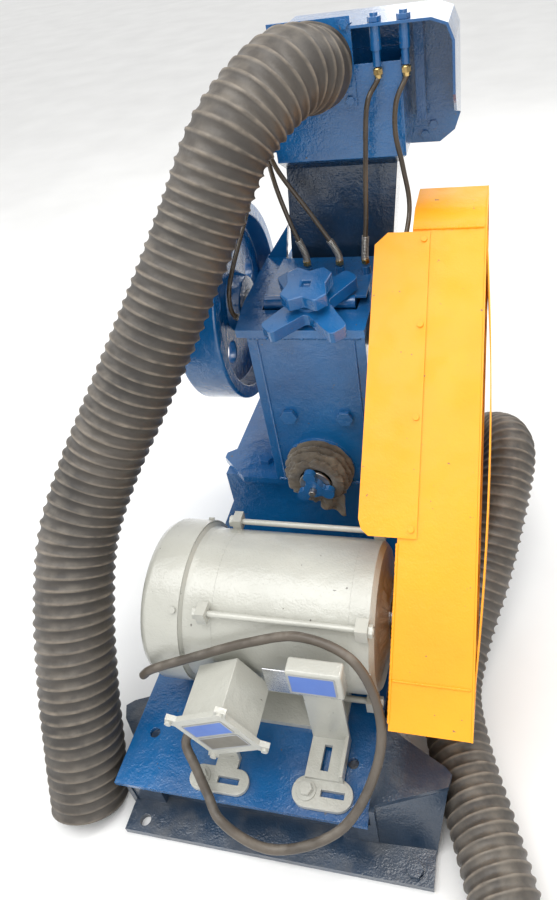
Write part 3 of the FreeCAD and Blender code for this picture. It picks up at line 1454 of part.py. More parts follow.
sensor_left = 39
sensor_right = 119
sensor_front = strap_rear - 3.2
sensor_low = 262
sensor_top = 318
keep(box("sensor_case", sensor_left, sensor_right, sensor_front - 25, sensor_front, sensor_low,
         sensor_top), "sensor_box")

# ---------------------------------------------------------------- power cable
cable = pipe("cable_run", [
    (-106, back(104), 187), (-122, back(99), 170), (-134, back(84), 150),
    (-114, back(60), 135), (-89, back(32), 110), (-62, back(4), 104), (10, back(-8), 66),
    (113, back(20), 102), (160, back(80), 166), (165, back(122), 232), (129, back(155), 309),
    (50, back(177), 318), (-30, back(173), 296), (-112, back(160), 266),
    (-190, back(143), 240), (-214, back(148), 212)], 7, 0)
keep(cable, "power_cable")

# ---------------------------------------------------------------- check and write
doc.recompute()
for item in doc.Objects:
    if "Invalid" in item.State or "Error" in item.State:
        raise RuntimeError("%s did not rebuild" % item.Label)

os.makedirs("parts", exist_ok=True)
for item in parts:
    shape = item.Shape
    if shape.isNull() or not shape.isValid():
        raise RuntimeError("%s has no valid shape" % item.Label)
    shape.exportStep("parts/%s.step" % item.Label)
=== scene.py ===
import json
import math

import bmesh
import bpy
from mathutils import Matrix, Vector, noise


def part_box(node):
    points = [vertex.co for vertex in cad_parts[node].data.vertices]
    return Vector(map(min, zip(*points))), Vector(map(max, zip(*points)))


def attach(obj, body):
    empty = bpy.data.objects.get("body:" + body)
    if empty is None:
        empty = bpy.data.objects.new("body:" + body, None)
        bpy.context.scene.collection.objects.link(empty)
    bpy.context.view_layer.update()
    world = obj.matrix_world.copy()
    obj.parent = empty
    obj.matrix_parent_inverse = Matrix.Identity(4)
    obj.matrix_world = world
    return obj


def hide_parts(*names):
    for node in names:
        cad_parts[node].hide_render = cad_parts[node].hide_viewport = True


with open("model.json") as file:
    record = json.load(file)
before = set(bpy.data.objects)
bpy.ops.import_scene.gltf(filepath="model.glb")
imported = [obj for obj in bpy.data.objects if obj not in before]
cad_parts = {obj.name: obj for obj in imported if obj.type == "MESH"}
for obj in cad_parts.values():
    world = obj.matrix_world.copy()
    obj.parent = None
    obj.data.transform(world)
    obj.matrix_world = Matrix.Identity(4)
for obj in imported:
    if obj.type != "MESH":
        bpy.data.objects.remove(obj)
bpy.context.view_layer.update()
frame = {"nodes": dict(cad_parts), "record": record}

# ---------------------------------------------------------------- materials
def new_material(name):
    """An empty material with a principled shader."""
    material = bpy.data.materials.new(name)
    material.use_nodes = True
    return material


def add(material, kind, **values):
    """A new shader node with some of its settings."""
    node = material.node_tree.nodes.new(kind)
    for key, value in values.items():
        setattr(node, key, value)
    return node


def wire(material, source, target):
    """Link an output to an input."""
    material.node_tree.links.new(source, target)


def base_shader(material):
    return material.node_tree.nodes["Principled BSDF"]


def object_noise(material, scale, detail=4.0, stretch=(1, 1, 1)):
    """Noise fixed to the piece, about 0 to 1."""
    coords = add(material, "ShaderNodeTexCoord")
    mapping = add(material, "ShaderNodeMapping")
    mapping.inputs["Scale"].default_value = stretch
    texture = add(material, "ShaderNodeTexNoise")
    texture.inputs["Scale"].default_value = scale
    texture.inputs["Detail"].default_value = detail
    wire(material, coords.outputs["Object"], mapping.inputs["Vector"])
    wire(material, mapping.outputs["Vector"], texture.inputs["Vector"])
    return texture.outputs["Fac"]


def ramp(material, source, low, high, start=0.0, end=1.0):
    """Map low..high to start..end, clamped."""
    node = add(material, "ShaderNodeMapRange")
    node.inputs["From Min"].default_value = low
    node.inputs["From Max"].default_value = high
    node.inputs["To Min"].default_value = start
    node.inputs["To Max"].default_value = end
    wire(material, source, node.inputs["Value"])
    return node.outputs["Result"]


def blend_colour(material, factor, first, second):
    """Mix from first to second, each a colour or the output of a node."""
    node = add(material, "ShaderNodeMix", data_type="RGBA")
    a, b = [s for s in node.inputs if s.type == "RGBA"]
    for socket, value in ((a, first), (b, second)):
        if isinstance(value, tuple):
            socket.default_value = (*value, 1)
        else:
            wire(material, value, socket)
    wire(material, factor, node.inputs["Factor"])
    return [s for s in node.outputs if s.type == "RGBA"][0]


def facing_up(material):
    """1 on surfaces that face straight up, 0 on upright ones."""
    geometry = add(material, "ShaderNodeNewGeometry")
    split = add(material, "ShaderNodeSeparateXYZ")
    wire(material, geometry.outputs["Normal"], split.inputs["Vector"])
    return split.outputs["Z"]


def times(material, first, second):
    """The product of two outputs or numbers."""
    node = add(material, "ShaderNodeMath", operation="MULTIPLY")
    for socket, value in zip(node.inputs, (first, second)):
        if isinstance(value, (int, float)):
            socket.default_value = value
        else:
            wire(material, value, socket)
    return node.outputs["Value"]


def bump(material, height, strength, distance, after=None):
    """A bumped normal, on top of another one if given."""
    node = add(material, "ShaderNodeBump")
    node.inputs["Strength"].default_value = strength
    node.inputs["Distance"].default_value = distance
    wire(material, height, node.inputs["Height"])
    if after is not None:
        wire(material, after, node.inputs["Normal"])
    return node.outputs["Normal"]


def enamel(name, colour, dark, roughness=0.22, coat=0.7, dust=0.25, peel=0.25, shade_height=None):
    """Brushed-on gloss paint: patchy colour, orange peel, dust on top faces, small chips.

    The last argument gives a height in the frame below which the paint is darkened nearly to
    black, unevenly: painted shade, with some grime.
    """
    material = new_material(name)
    shader = base_shader(material)
    patches = ramp(material, object_noise(material, 7, 5), 0.35, 0.7)
    paint = blend_colour(material, patches, colour, dark)
    grime = ramp(material, object_noise(material, 22, 6), 0.45, 0.75)
    top = ramp(material, facing_up(material), 0.5, 1.0, 0.0, dust)
    finished_tone = blend_colour(material, times(material, grime, top), paint, (0.30, 0.27, 0.22))
    if shade_height is not None:
        # painted shade, with some grime: below the given height the paint is blended unevenly
        # towards near black
        coords = add(material, "ShaderNodeTexCoord")
        split = add(material, "ShaderNodeSeparateXYZ")
        wire(material, coords.outputs["Object"], split.inputs["Vector"])
        below = ramp(material, split.outputs["Z"], shade_height + 0.004, shade_height - 0.004)
        patchiness = ramp(material, object_noise(material, 18, 6), 0.2, 0.8, 0.95, 0.7)
        finished_tone = blend_colour(material, times(material, below, patchiness), finished_tone,
                             (0.014, 0.017, 0.022))
    chips = ramp(material, object_noise(material, 95, 3), 0.72, 0.745)
    shade = blend_colour(material, times(material, chips, 0.8), finished_tone, (0.10, 0.09, 0.08))
    wire(material, shade, shader.inputs["Base Color"])
    rough = ramp(material, grime, 0, 1, roughness, roughness + 0.22)
    wire(material, rough, shader.inputs["Roughness"])
    shader.inputs["Coat Weight"].default_value = coat
    shader.inputs["Coat Roughness"].default_value = 0.08
    fine = bump(material, object_noise(material, 330, 2), peel, 0.0006)
    coarse = bump(material, object_noise(material, 60, 3), peel * 0.8, 0.0016, fine)
    wire(material, coarse, shader.inputs["Normal"])
    wire(material, coarse, shader.inputs["Coat Normal"])
    return material


def metal(name, colour, roughness, streak=(1, 1, 1), rust=0.0):
    """Bare metal with fine scratches, uneven sheen and a little brown in the hollows."""
    material = new_material(name)
    shader = base_shader(material)
    shader.inputs["Metallic"].default_value = 1.0
    patches = ramp(material, object_noise(material, 30, 5), 0.3, 0.75)
    tone = blend_colour(material, patches, colour, tuple(0.62 * c for c in colour))
    spots = ramp(material, object_noise(material, 70, 6), 0.55, 0.7)
    stained = blend_colour(material, times(material, spots, rust), tone, (0.16, 0.08, 0.04))
    wire(material, stained, shader.inputs["Base Color"])
    scratches = object_noise(material, 240, 4, streak)
    wire(material, ramp(material, scratches, 0.3, 0.7, roughness - 0.08, roughness + 0.14),
         shader.inputs["Roughness"])
    wire(material, bump(material, scratches, 0.2, 0.0004), shader.inputs["Normal"])
    return material


def soft(name, colour, dark, roughness, grain, depth=0.0004):
    """Plastic, rubber or film: mottled colour, dust on top and a grainy surface."""
    material = new_material(name)
    shader = base_shader(material)
    patches = ramp(material, object_noise(material, 12, 6), 0.35, 0.7)
    tone = blend_colour(material, patches, colour, dark)
    top = ramp(material, facing_up(material), 0.4, 1.0, 0.0, 0.45)
    specks = ramp(material, object_noise(material, 45, 6), 0.45, 0.8)
    finished_tone = blend_colour(material, times(material, specks, top), tone, (0.34, 0.31, 0.26))
    wire(material, finished_tone, shader.inputs["Base Color"])
    rough = ramp(material, specks, 0, 1, roughness, roughness + 0.2)
    wire(material, rough, shader.inputs["Roughness"])
    wire(material, bump(material, object_noise(material, grain, 3), 0.35, depth),
         shader.inputs["Normal"])
    return material


def hose_cloth(name):
    """Proofed hose cloth: painted shade in the valleys between the ribs, painted highlight on the
    ridges in patches, dust and long scuffs.
    """
    material = new_material(name)
    shader = base_shader(material)
    ridge = add(material, "ShaderNodeAttribute", attribute_name="ridge").outputs["Fac"]
    patches = ramp(material, object_noise(material, 9, 6), 0.35, 0.7)
    # painted shade: the valleys between the ribs take this dark colour
    valley = blend_colour(material, patches, (0.070, 0.060, 0.050), (0.036, 0.032, 0.028))
    patchiness = ramp(material, object_noise(material, 60, 4), 0.3, 0.65, 0.25, 1.0)
    # painted highlight: the ridges blend to a paler colour, patchily
    ridge_light = times(material, ramp(material, ridge, 0.45, 0.95), patchiness)
    tone = blend_colour(material, ridge_light, valley, (0.215, 0.180, 0.140))
    dust = times(material, ramp(material, facing_up(material), 0.3, 1.0, 0.0, 0.5),
                 ramp(material, object_noise(material, 35, 6), 0.4, 0.7))
    finished_tone = blend_colour(material, dust, tone, (0.24, 0.21, 0.17))
    wire(material, finished_tone, shader.inputs["Base Color"])
    wire(material, ramp(material, patches, 0, 1, 0.42, 0.62), shader.inputs["Roughness"])
    wire(material, bump(material, object_noise(material, 170, 4), 0.5, 0.0008),
         shader.inputs["Normal"])
    return material


def canvas(name):
    """Coarse woven cloth: two crossed sets of threads under greasy patches."""
    material = new_material(name)
    shader = base_shader(material)
    coords = add(material, "ShaderNodeTexCoord")
    heights = []
    for direction in ("X", "Z"):
        threads = add(material, "ShaderNodeTexWave", bands_direction=direction)
        threads.inputs["Scale"].default_value = 260
        threads.inputs["Distortion"].default_value = 1.5
        wire(material, coords.outputs["Object"], threads.inputs["Vector"])
        heights.append(threads.outputs["Fac"])
    patches = ramp(material, object_noise(material, 26, 6), 0.35, 0.7)
    tone = blend_colour(material, patches, (0.16, 0.13, 0.09), (0.05, 0.04, 0.03))
    thread = blend_colour(material, times(material, heights[0], 0.25), tone,
                          (0.24, 0.20, 0.15))
    wire(material, thread, shader.inputs["Base Color"])
    shader.inputs["Roughness"].default_value = 0.9
    shader.inputs["Sheen Weight"].default_value = 0.3
    weave = bump(material, times(material, heights[0], heights[1]), 0.5, 0.0008)
    wire(material, bump(material, object_noise(material, 40, 5), 0.5, 0.003, weave),
         shader.inputs["Normal"])
    return material


blue_light = (0.005, 0.120, 0.335)
blue_deep = (0.004, 0.070, 0.215)
blue = enamel("blue_enamel", blue_light, blue_deep, roughness=0.14, coat=0.9, dust=0.06,
              peel=0.75)
# the hopper's blue with painted shade below a height of 0.795 m, where the throat sits under the
# overhang, plus some grime
throat_shade_blue = enamel("throat_shade_enamel", blue_light, blue_deep, roughness=0.14, coat=0.9,
                    dust=0.06, peel=0.75, shade_height=0.795)
base_blue = enamel("base_enamel", (0.020, 0.045, 0.085), (0.014, 0.026, 0.046),
                   roughness=0.28, coat=0.6, dust=0.25, peel=0.6)
grey = enamel("grey_enamel", (0.50, 0.50, 0.445), (0.42, 0.42, 0.375), roughness=0.3,
              coat=0.75, dust=0.10, peel=0.9)
yellow = enamel("yellow_enamel", (0.95, 0.37, 0.0), (0.88, 0.33, 0.0), roughness=0.45,
                coat=0.08, dust=0.03, peel=0.5)
zinc = metal("zinc_plate", (0.60, 0.58, 0.54), 0.34, rust=0.5)
steel = metal("machined_steel", (0.55, 0.55, 0.56), 0.26, (1, 14, 14), 0.2)
stainless = metal("stainless_strap", (0.70, 0.71, 0.73), 0.24, (1, 1, 30))
iron = metal("cast_iron", (0.16, 0.16, 0.17), 0.55, rust=0.5)
brass = metal("brass", (0.72, 0.52, 0.22), 0.28, rust=0.25)
black_plastic = soft("black_plastic", (0.02, 0.02, 0.02), (0.03, 0.03, 0.03),
                     roughness=0.45, grain=200)
rubber = soft("belt_rubber", (0.012, 0.012, 0.012), (0.03, 0.028, 0.026), roughness=0.7,
              grain=300)
cable_skin = soft("cable_skin", (0.11, 0.09, 0.07), (0.06, 0.05, 0.04), roughness=0.42,
                  grain=220)
line_skin = soft("line_skin", (0.075, 0.055, 0.035), (0.03, 0.022, 0.015), roughness=0.2,
                 grain=260, depth=0.0003)
label_worn = soft("label_worn", (0.20, 0.19, 0.16), (0.12, 0.11, 0.10), roughness=0.5,
                  grain=380, depth=0.0002)
label_blue = soft("label_film", (0.09, 0.19, 0.55), (0.07, 0.15, 0.47), roughness=0.35,
                  grain=380, depth=0.0002)
label_edge = soft("label_border", (0.34, 0.35, 0.36), (0.24, 0.25, 0.26), roughness=0.4,
                  grain=380, depth=0.0002)
hose_skin = hose_cloth("hose_skin")
cloth = canvas("boot_canvas")

finish_of = {
    "base_paint": base_blue, "blue_paint": blue, "grey_paint": grey, "yellow_paint": yellow,
    "zinc_steel": zinc, "steel": steel, "stainless": stainless, "iron": iron, "brass": brass,
    "black_plastic": black_plastic, "line_plastic": line_skin, "hose_plastic": hose_skin,
    "cable_rubber": cable_skin, "belt_rubber": rubber, "canvas": cloth}

# nodes that look different from the rest of their material slot; the hopper's throat carries
# painted shade below its overhang
special_finish = {"feed_hopper": throat_shade_blue}

# ---------------------------------------------------------------- CAD pieces
# width of the softened edges in metres
usual_edge = 0.0012
fine_edges = {"guard_mesh": 0.0005, "cover_screws": 0.0004, "guard_screws": 0.0005,
              "hopper_bolts": 0.0006, "tension_spring": 0, "guard_case": 0.0006,
              "guard_shield": 0.0008, "fan_cover": 0.0007, "feed_hopper": 0.001,
              "hood": 0.001, "flywheel": 0.002, "star_wheel": 0.003, "adjusting_screw": 0.0025,
              "switch_box": 0.002, "switch_cover": 0.0022, "sensor_box": 0.004,
              "base_frame": 0.002, "boot_nut": 0.0025, "motor_plate": 0.0015}


def finish_cad_node(node, slot_name):
    """Give a CAD node its paint or metal, and soften its edges with modifiers only."""
    piece = frame["nodes"][node]
    piece.data.materials.clear()
    piece.data.materials.append(special_finish.get(node, finish_of[slot_name]))
    for face in piece.data.polygons:
        face.use_smooth = True
    weld = piece.modifiers.new("weld", "WELD")
    weld.merge_threshold = 0.00004
    flat = piece.modifiers.new("flat_faces", "DECIMATE")
    flat.decimate_type = "DISSOLVE"
    flat.angle_limit = math.radians(0.4)
    width = fine_edges.get(node, usual_edge)
    if width > 0:
        bevel = piece.modifiers.new("edges", "BEVEL")
        bevel.width = width
        bevel.segments = 2
        bevel.limit_method = "ANGLE"
        bevel.angle_limit = math.radians(38)
        bevel.harden_normals = True
        bevel.use_clamp_overlap = True
    normals = piece.modifiers.new("normals", "WEIGHTED_NORMAL")
    normals.keep_sharp = True


for entry in frame["record"]["subparts"]:
    finish_cad_node(entry["node"], entry["material_slot"])


# ---------------------------------------------------------------- mesh helpers
def make_piece(name, verts, faces, material, slot_name, smooth=True):
    """A new mesh object that rides on the frame body."""
    mesh = bpy.data.meshes.new(name)
    mesh.from_pydata([tuple(v) for v in verts], [], faces)
    mesh.validate()
    tool = bmesh.new()
    tool.from_mesh(mesh)
    bmesh.ops.recalc_face_normals(tool, faces=tool.faces)
    tool.to_mesh(mesh)
    tool.free()
    for face in mesh.polygons:
        face.use_smooth = smooth
    piece = bpy.data.objects.new(name, mesh)
    bpy.context.scene.collection.objects.link(piece)
    mesh.materials.append(material)
    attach(piece, "frame")
    return piece


def band(first, second, count):
    """Faces between two closed rings of vertices, given by the index each ring starts at."""
    faces = []
    for k in range(count):
        j = (k + 1) % count
        faces.append((first + k, first + j, second + j, second + k))
    return faces


def caps(total, count):
    """Faces that close the first and the last ring of vertices."""
    return [tuple(range(count)), tuple(range(total - count, total))]


def smooth_path(points, step):
    """Evenly spaced points on a centripetal Catmull-Rom curve through the given ones."""
    knots = [Vector(p) for p in points]
    knots = [knots[0] * 2 - knots[1]] + knots + [knots[-1] * 2 - knots[-2]]
    dense = []
    for i in range(1, len(knots) - 2):
        p0, p1, p2, p3 = knots[i - 1:i + 3]
        t0 = 0.0
        t1 = t0 + (p1 - p0).length ** 0.5
        t2 = t1 + (p2 - p1).length ** 0.5
        t3 = t2 + (p3 - p2).length ** 0.5
        for k in range(24):
            t = t1 + (t2 - t1) * k / 24
            a1 = p0 * ((t1 - t) / (t1 - t0)) + p1 * ((t - t0) / (t1 - t0))
            a2 = p1 * ((t2 - t) / (t2 - t1)) + p2 * ((t - t1) / (t2 - t1))
            a3 = p2 * ((t3 - t) / (t3 - t2)) + p3 * ((t - t2) / (t3 - t2))
            b1 = a1 * ((t2 - t) / (t2 - t0)) + a2 * ((t - t0) / (t2 - t0))
            b2 = a2 * ((t3 - t) / (t3 - t1)) + a3 * ((t - t1) / (t3 - t1))
            dense.append(b1 * ((t2 - t) / (t2 - t1)) + b2 * ((t - t1) / (t2 - t1)))
    dense.append(knots[-2])
    even = [dense[0]]
    carried = 0.0
    for before, after in zip(dense, dense[1:]):
        gap = (after - before).length
        while carried + gap >= step:
            share = (step - carried) / gap
            before = before.lerp(after, share)
            gap = (after - before).length
            carried = 0.0
            even.append(before)
        carried += gap
    return even


def frames_along(path):
    """A steady pair of side directions at each path point."""
    heading = (path[1] - path[0]).normalized()
    side = heading.orthogonal().normalized()
    result = []
    for i in range(len(path)):
        ahead = path[min(i + 1, len(path) - 1)] - path[max(i - 1, 0)]
        ahead.normalize()
        side = (side - ahead * side.dot(ahead)).normalized()
        result.append((path[i], side, ahead.cross(side)))
    return result


def sweep(path, radius_at, around, close_ends=True):
    """Rings of vertices along a path: radius_at gives the radius for a ring and an angle."""
    verts = []
    faces = []
    for i, (middle, side, up) in enumerate(frames_along(path)):
        for k in range(around):
            angle = 2 * math.pi * k / around
            reach = radius_at(i, angle)
            verts.append(middle + (side * math.cos(angle) + up * math.sin(angle)) * reach)
    for i in range(len(path) - 1):
        faces += band(i * around, (i + 1) * around, around)
    if close_ends:
        faces += caps(len(verts), around)
    return verts, faces


def join(parts):
    """One list of vertices and one of faces from several."""
    verts = []
    faces = []
    for part_verts, part_faces in parts:
        shift = len(verts)
        verts += part_verts
        faces += [tuple(i + shift for i in face) for face in part_faces]
    return verts, faces


def drawn(points):
    """Points given in millimetres in the frame."""
    return [Vector(p) * 0.001 for p in points]


# ---------------------------------------------------------------- ribbed hoses
rib_height = 0.0046
floor_gap = 0.0006


def ribbed_hose(name, node, points, radius, wall, pitch, flatten_floor=False):
    """Spiral ribbed hose: a thread of rounded ribs on a tube with open ends."""
    step = pitch / 7
    path = smooth_path(points, step)
    valley = radius - rib_height

    def outside(i, angle):
        turn = (i * step / pitch - angle / (2 * math.pi)) % 1.0
        rib = math.exp(-((turn - 0.5) / 0.13) ** 2) + 0.22 * math.sin(2 * math.pi * turn) ** 2
        rib = min(rib, 1.0)
        sag = 0.0012 * noise.noise(path[i] * 9 + Vector((angle, 0, 0)))
        return valley + rib_height * rib + sag

    def inside(i, angle):
        return valley - wall

    around = 56
    outer = sweep(path, outside, around, False)
    verts, faces = join([outer, sweep(path, inside, around, False)])
    shift = len(outer[0])
    for end in (0, (len(path) - 1) * around):
        faces += band(end, shift + end, around)
    if flatten_floor:
        for vertex in verts:
            vertex.z = max(vertex.z, floor_gap)
    piece = make_piece(name, verts, faces, hose_skin, "hose_plastic")
    ridge = piece.data.attributes.new("ridge", "FLOAT", "POINT")
    for i in range(len(path)):
        for k in range(around):
            angle = 2 * math.pi * k / around
            height = (outside(i, angle) - valley) / rib_height
            ridge.data[i * around + k].value = max(0.0, min(1.0, height))
    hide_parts(node)


left_points = drawn([
    (32, 284, 945), (32, 262, 945.5), (12, 204, 955), (-48, 124, 906), (-108, 70, 800),
    (-174, 7, 680), (-245, -56, 560), (-299, -112, 465), (-332, -174, 382), (-338, -245, 290),
    (-334, -310, 190), (-328, -365, 95), (-325, -412, 2)])
ribbed_hose("left_duct", "left_hose", left_points, radius=0.0635, wall=0.0025, pitch=0.0185,
            flatten_floor=True)
right_points = drawn([
    (241, 340, 170), (252, 340, 170), (312, 314, 206), (336, 240, 238), (326, 140, 205),
    (298, 30, 128), (264, -80, 68), (250, -170, 51), (270, -270, 50.5), (311, -385, 50.5),
    (350, -499, 50.5)])
ribbed_hose("right_duct", "right_hose", right_points, radius=0.050, wall=0.0022, pitch=0.0165)


# ---------------------------------------------------------------- power cable
cable_radius = 0.007
cable_points = drawn([
    (-106, -346, 187), (-122, -351, 170), (-134, -366, 150), (-114, -390, 135),
    (-89, -418, 110), (-62, -446, 104), (10, -458, 66), (113, -430, 102), (160, -370, 166),
    (165, -328, 232), (129, -295, 309), (50, -273, 318), (-30, -277, 296), (-112, -290, 266),
    (-190, -307, 240), (-214, -302, 212)])
cable_path = smooth_path(cable_points, cable_radius * 0.9)


def cable_reach(i, angle):
    """A cable skin that isn't quite even along its length."""
    return cable_radius * (1 + 0.05 * noise.noise(cable_path[i] * 60))


cable = make_piece("power_lead", *sweep(cable_path, cable_reach, 20), cable_skin,
                   "cable_rubber")
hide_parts("power_cable")

# ---------------------------------------------------------------- grease lines
line_radius = 0.004
guard_radius = 0.0054
guard_wire = 0.0009
guard_pitch = 0.0024
collar_across = 0.013
upper_collar = 0.015
lower_collar = 0.013

# millimetres: the tops of the four nipples on the shaft cover, and the hood's roof
nipple_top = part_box("shaft_cover")[1].z * 1000 + 1.5
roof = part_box("hood")[1].z * 1000


def from_roof(x, y):
    """The first two points of a line that comes down out of the hood."""
    return [(x, y, roof - 61.5), (x, y, roof - 76)]


def to_cover(x):
    """The last two points of a line that ends on top of the shaft cover."""
    return [(x, 240, nipple_top + 18), (x, 240, nipple_top)]


def to_block(x, side):
    """The last points of a line that turns under the cover and ends on a bearing."""
    return [(x + 24 * side, 157.5, 632), (x + 23 * side, 155.5, 590), (x + 8 * side, 169.5, 576),
            (x, 183.5, 576), (x, 193.5, 576)]


line_runs = [
    from_roof(130, 286) + [(116, 262, 896), (105, 260, 810), (98, 250, 710)] + to_cover(93),
    from_roof(172, 286) + [(157, 274, 890), (153, 268, 845), (162, 264, 792), (169, 260, 725)]
    + to_block(128.1, 1),
    [(-58, 301.5, 846), (-60, 283.5, 838), (-44, 261.5, 806), (12, 247.5, 720)] + to_cover(48),
    [(-58, 301.5, 828), (-60, 283.5, 816), (-50, 261.5, 780), (-28, 245.5, 710)]
    + to_cover(-9),
    [(-71, 321.5, 836), (-84, 317.5, 832), (-102, 271.5, 750)] + to_block(-104, -1)]


def coil(middle_path, radius, wire_radius, pitch):
    """Spring wire wound round a short stretch of path."""
    per_turn = 14
    places = frames_along(middle_path)
    length = sum((b - a).length for a, b in zip(middle_path, middle_path[1:]))
    steps = int(length / pitch * per_turn)
    wound = []
    for i in range(steps):
        where = i / steps * (len(places) - 1)
        low = int(where)
        middle = places[low][0].lerp(places[min(low + 1, len(places) - 1)][0], where - low)
        side, up = places[low][1], places[low][2]
        angle = 2 * math.pi * i / per_turn
        wound.append(middle + (side * math.cos(angle) + up * math.sin(angle)) * radius)
    return sweep(wound, lambda i, a: wire_radius, 6)


def hex_collar(centre, axis, across, length):
    """A turned hex fitting: a hexagon between two round shoulders."""
    axis = Vector(axis).normalized()
    side = axis.orthogonal().normalized()
    up = axis.cross(side)
    around = 24
    # share of the length, radius as a share of the width across flats, hexagonal or round
    rings = [(0.0, 0.34, False), (0.12, 0.46, False), (0.14, 0.577, True),
             (0.62, 0.577, True), (0.64, 0.46, False), (1.0, 0.40, False)]
    verts = []
    faces = []
    for share, reach, hexagonal in rings:
        for k in range(around):
            angle = 2 * math.pi * k / around
            size = reach
            if hexagonal:
                within = (angle % (math.pi / 3)) - math.pi / 6
                size = reach * math.cos(math.pi / 6) / math.cos(within)
            verts.append(Vector(centre) + axis * (share * length)
                         + (side * math.cos(angle) + up * math.sin(angle)) * size * across)
    for i in range(len(rings) - 1):
        faces += band(i * around, (i + 1) * around, around)
    faces += caps(len(verts), around)
    return verts, faces


line_meshes = []
coil_meshes = []
collar_meshes = []
for points in line_runs:
    path = smooth_path(drawn(points), 0.003)
    line_meshes.append(sweep(path, lambda i, a: line_radius, 14))
    coil_meshes.append(coil(path[-17:-3], guard_radius, guard_wire, guard_pitch))
    collar_meshes.append(hex_collar(path[-1], path[-5] - path[-1], collar_across, lower_collar))
    collar_meshes.append(hex_collar(path[0], path[4] - path[0], collar_across, upper_collar))
lines = make_piece("line_tubes", *join(line_meshes), line_skin, "line_plastic")
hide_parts("grease_lines")
make_piece("line_spring_guards", *join(coil_meshes), zinc, "zinc_steel")
make_piece("line_end_fittings", *join(collar_meshes), brass, "brass", smooth=False)


# ---------------------------------------------------------------- canvas boot
boot_low, boot_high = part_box("canvas_boot")
boot_centre = (boot_low + boot_high) / 2


def gathered_boot():
    """Gathered canvas sleeve round the spring: deep soft folds, creases and a tied end."""
    outer = (boot_high.x - boot_low.x) / 2
    rows = 46
    around = 150
    verts = []
    faces = []
    for i in range(rows + 1):
        share = i / rows
        y = boot_high.y - (boot_high.y - boot_low.y) * share
        folds = 0.0042 * math.cos(2 * math.pi * share * 3)
        base = outer * (0.97 - 0.13 * share) + folds
        if share > 0.86:
            base *= 1 - 0.9 * (share - 0.86)
        for k in range(around):
            angle = 2 * math.pi * k / around
            spot = Vector((math.cos(angle) * 2.2, math.sin(angle) * 2.2, share * 5))
            crease = noise.noise(spot * 1.7) * 0.0045 + abs(noise.noise(spot * 4)) * -0.004
            pleat = 0.0016 * math.sin(angle * 17 + 5 * noise.noise(spot)) * share
            reach = min(base + crease + pleat, outer + 0.001)
            shift = 0.003 * noise.noise(spot * 1.3 + Vector((9, 0, 0)))
            verts.append(Vector((boot_centre.x + reach * math.cos(angle), y + shift,
                                 boot_centre.z + reach * math.sin(angle))))
    for i in range(rows):
        faces += band(i * around, (i + 1) * around, around)
    # the inside: a plain bore from the tied end back to the open end
    bore = 0.030
    for y in (boot_low.y + 0.002, boot_low.y + 0.012, boot_high.y - 0.004):
        for k in range(around):
            angle = 2 * math.pi * k / around
            verts.append(Vector((boot_centre.x + bore * math.cos(angle), y,
                                 boot_centre.z + bore * math.sin(angle))))
    rings = [rows, rows + 1, rows + 2, rows + 3, 0]
    for a, b in zip(rings, rings[1:]):
        faces += band(a * around, b * around, around)
    boot = make_piece("gathered_boot", verts, faces, cloth, "canvas")
    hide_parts("canvas_boot")


def cloth_flap():
    """Loose corner of the canvas that hangs out below the hand nut."""
    columns, rows = 26, 20
    thickness = 0.0012
    verts = []
    faces = []
    for side in (0, 1):
        for i in range(rows + 1):
            for k in range(columns + 1):
                u = k / columns
                v = i / rows
                x = boot_centre.x + 0.004 + 0.046 * u
                z = boot_centre.z - 0.030 - 0.040 * v * (0.55 + 0.45 * u)
                ripple = 0.004 * math.sin(9 * u + 3 * v) + 0.004 * noise.noise((4 * u, 4 * v, 2))
                y = boot_low.y - 0.001 - 0.006 * v + ripple + thickness * side
                verts.append(Vector((x, y, z)))
    count = (rows + 1) * (columns + 1)
    wide = columns + 1
    for side in (0, 1):
        for i in range(rows):
            for k in range(columns):
                a = side * count + i * wide + k
                quad = (a, a + 1, a + wide + 1, a + wide)
                faces.append(quad if side else quad[::-1])
    border = list(range(wide))
    border += [i * wide + columns for i in range(1, rows + 1)]
    border += [rows * wide + k for k in range(columns - 1, -1, -1)]
    border += [i * wide for i in range(rows - 1, 0, -1)]
    for a, b in zip(border, border[1:] + border[:1]):
        faces.append((a, b, b + count, a + count))
    make_piece("boot_flap", verts, faces, cloth, "canvas")


gathered_boot()
cloth_flap()


# ---------------------------------------------------------------- weld beads
def weld_bead(start, end, radius):
    """A rippled weld laid along a straight joint."""
    path = smooth_path([start, (start + end) / 2, end], 0.0011)

    def reach(i, angle):
        ripple = 0.80 + 0.20 * abs(math.sin(i * 0.55))
        return radius * ripple * (1 + 0.25 * noise.noise(path[i] * 180))

    return sweep(path, reach, 10)


body_low, body_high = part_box("front_panel")
panel_front = body_high.y - 0.008
seam_top = body_high.z - 0.002
seam_foot = body_low.z + 0.024
sill = body_low.z + 0.022
left = body_low.x - 0.012
right = body_high.x + 0.012
seams = [
    ((left, seam_top), (right, seam_top), 0.0055),
    ((body_low.x, seam_foot), (body_low.x, seam_top), 0.0022),
    ((body_high.x, seam_foot), (body_high.x, seam_top), 0.0022),
    ((left, sill), (right, sill), 0.0032)]
blue_beads = [weld_bead(Vector((x1, panel_front, z1)), Vector((x2, panel_front, z2)), radius)
              for (x1, z1), (x2, z2), radius in seams]
make_piece("body_weld_beads", *join(blue_beads), blue, "blue_paint")

guard_low, guard_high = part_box("guard_case")
guard_foot_y, guard_foot_z = -0.341, 0.222
guard_slope = math.radians(40.5)
up_slope = Vector((0, math.cos(guard_slope), math.sin(guard_slope)))
off_slope = Vector((0, -math.sin(guard_slope), math.cos(guard_slope)))


def on_slope(x, distance, lift=0.0):
    """A spot on the guard's sloping face, a distance up from its foot."""
    return Vector((x, guard_foot_y, guard_foot_z)) + up_slope * distance + off_slope * lift


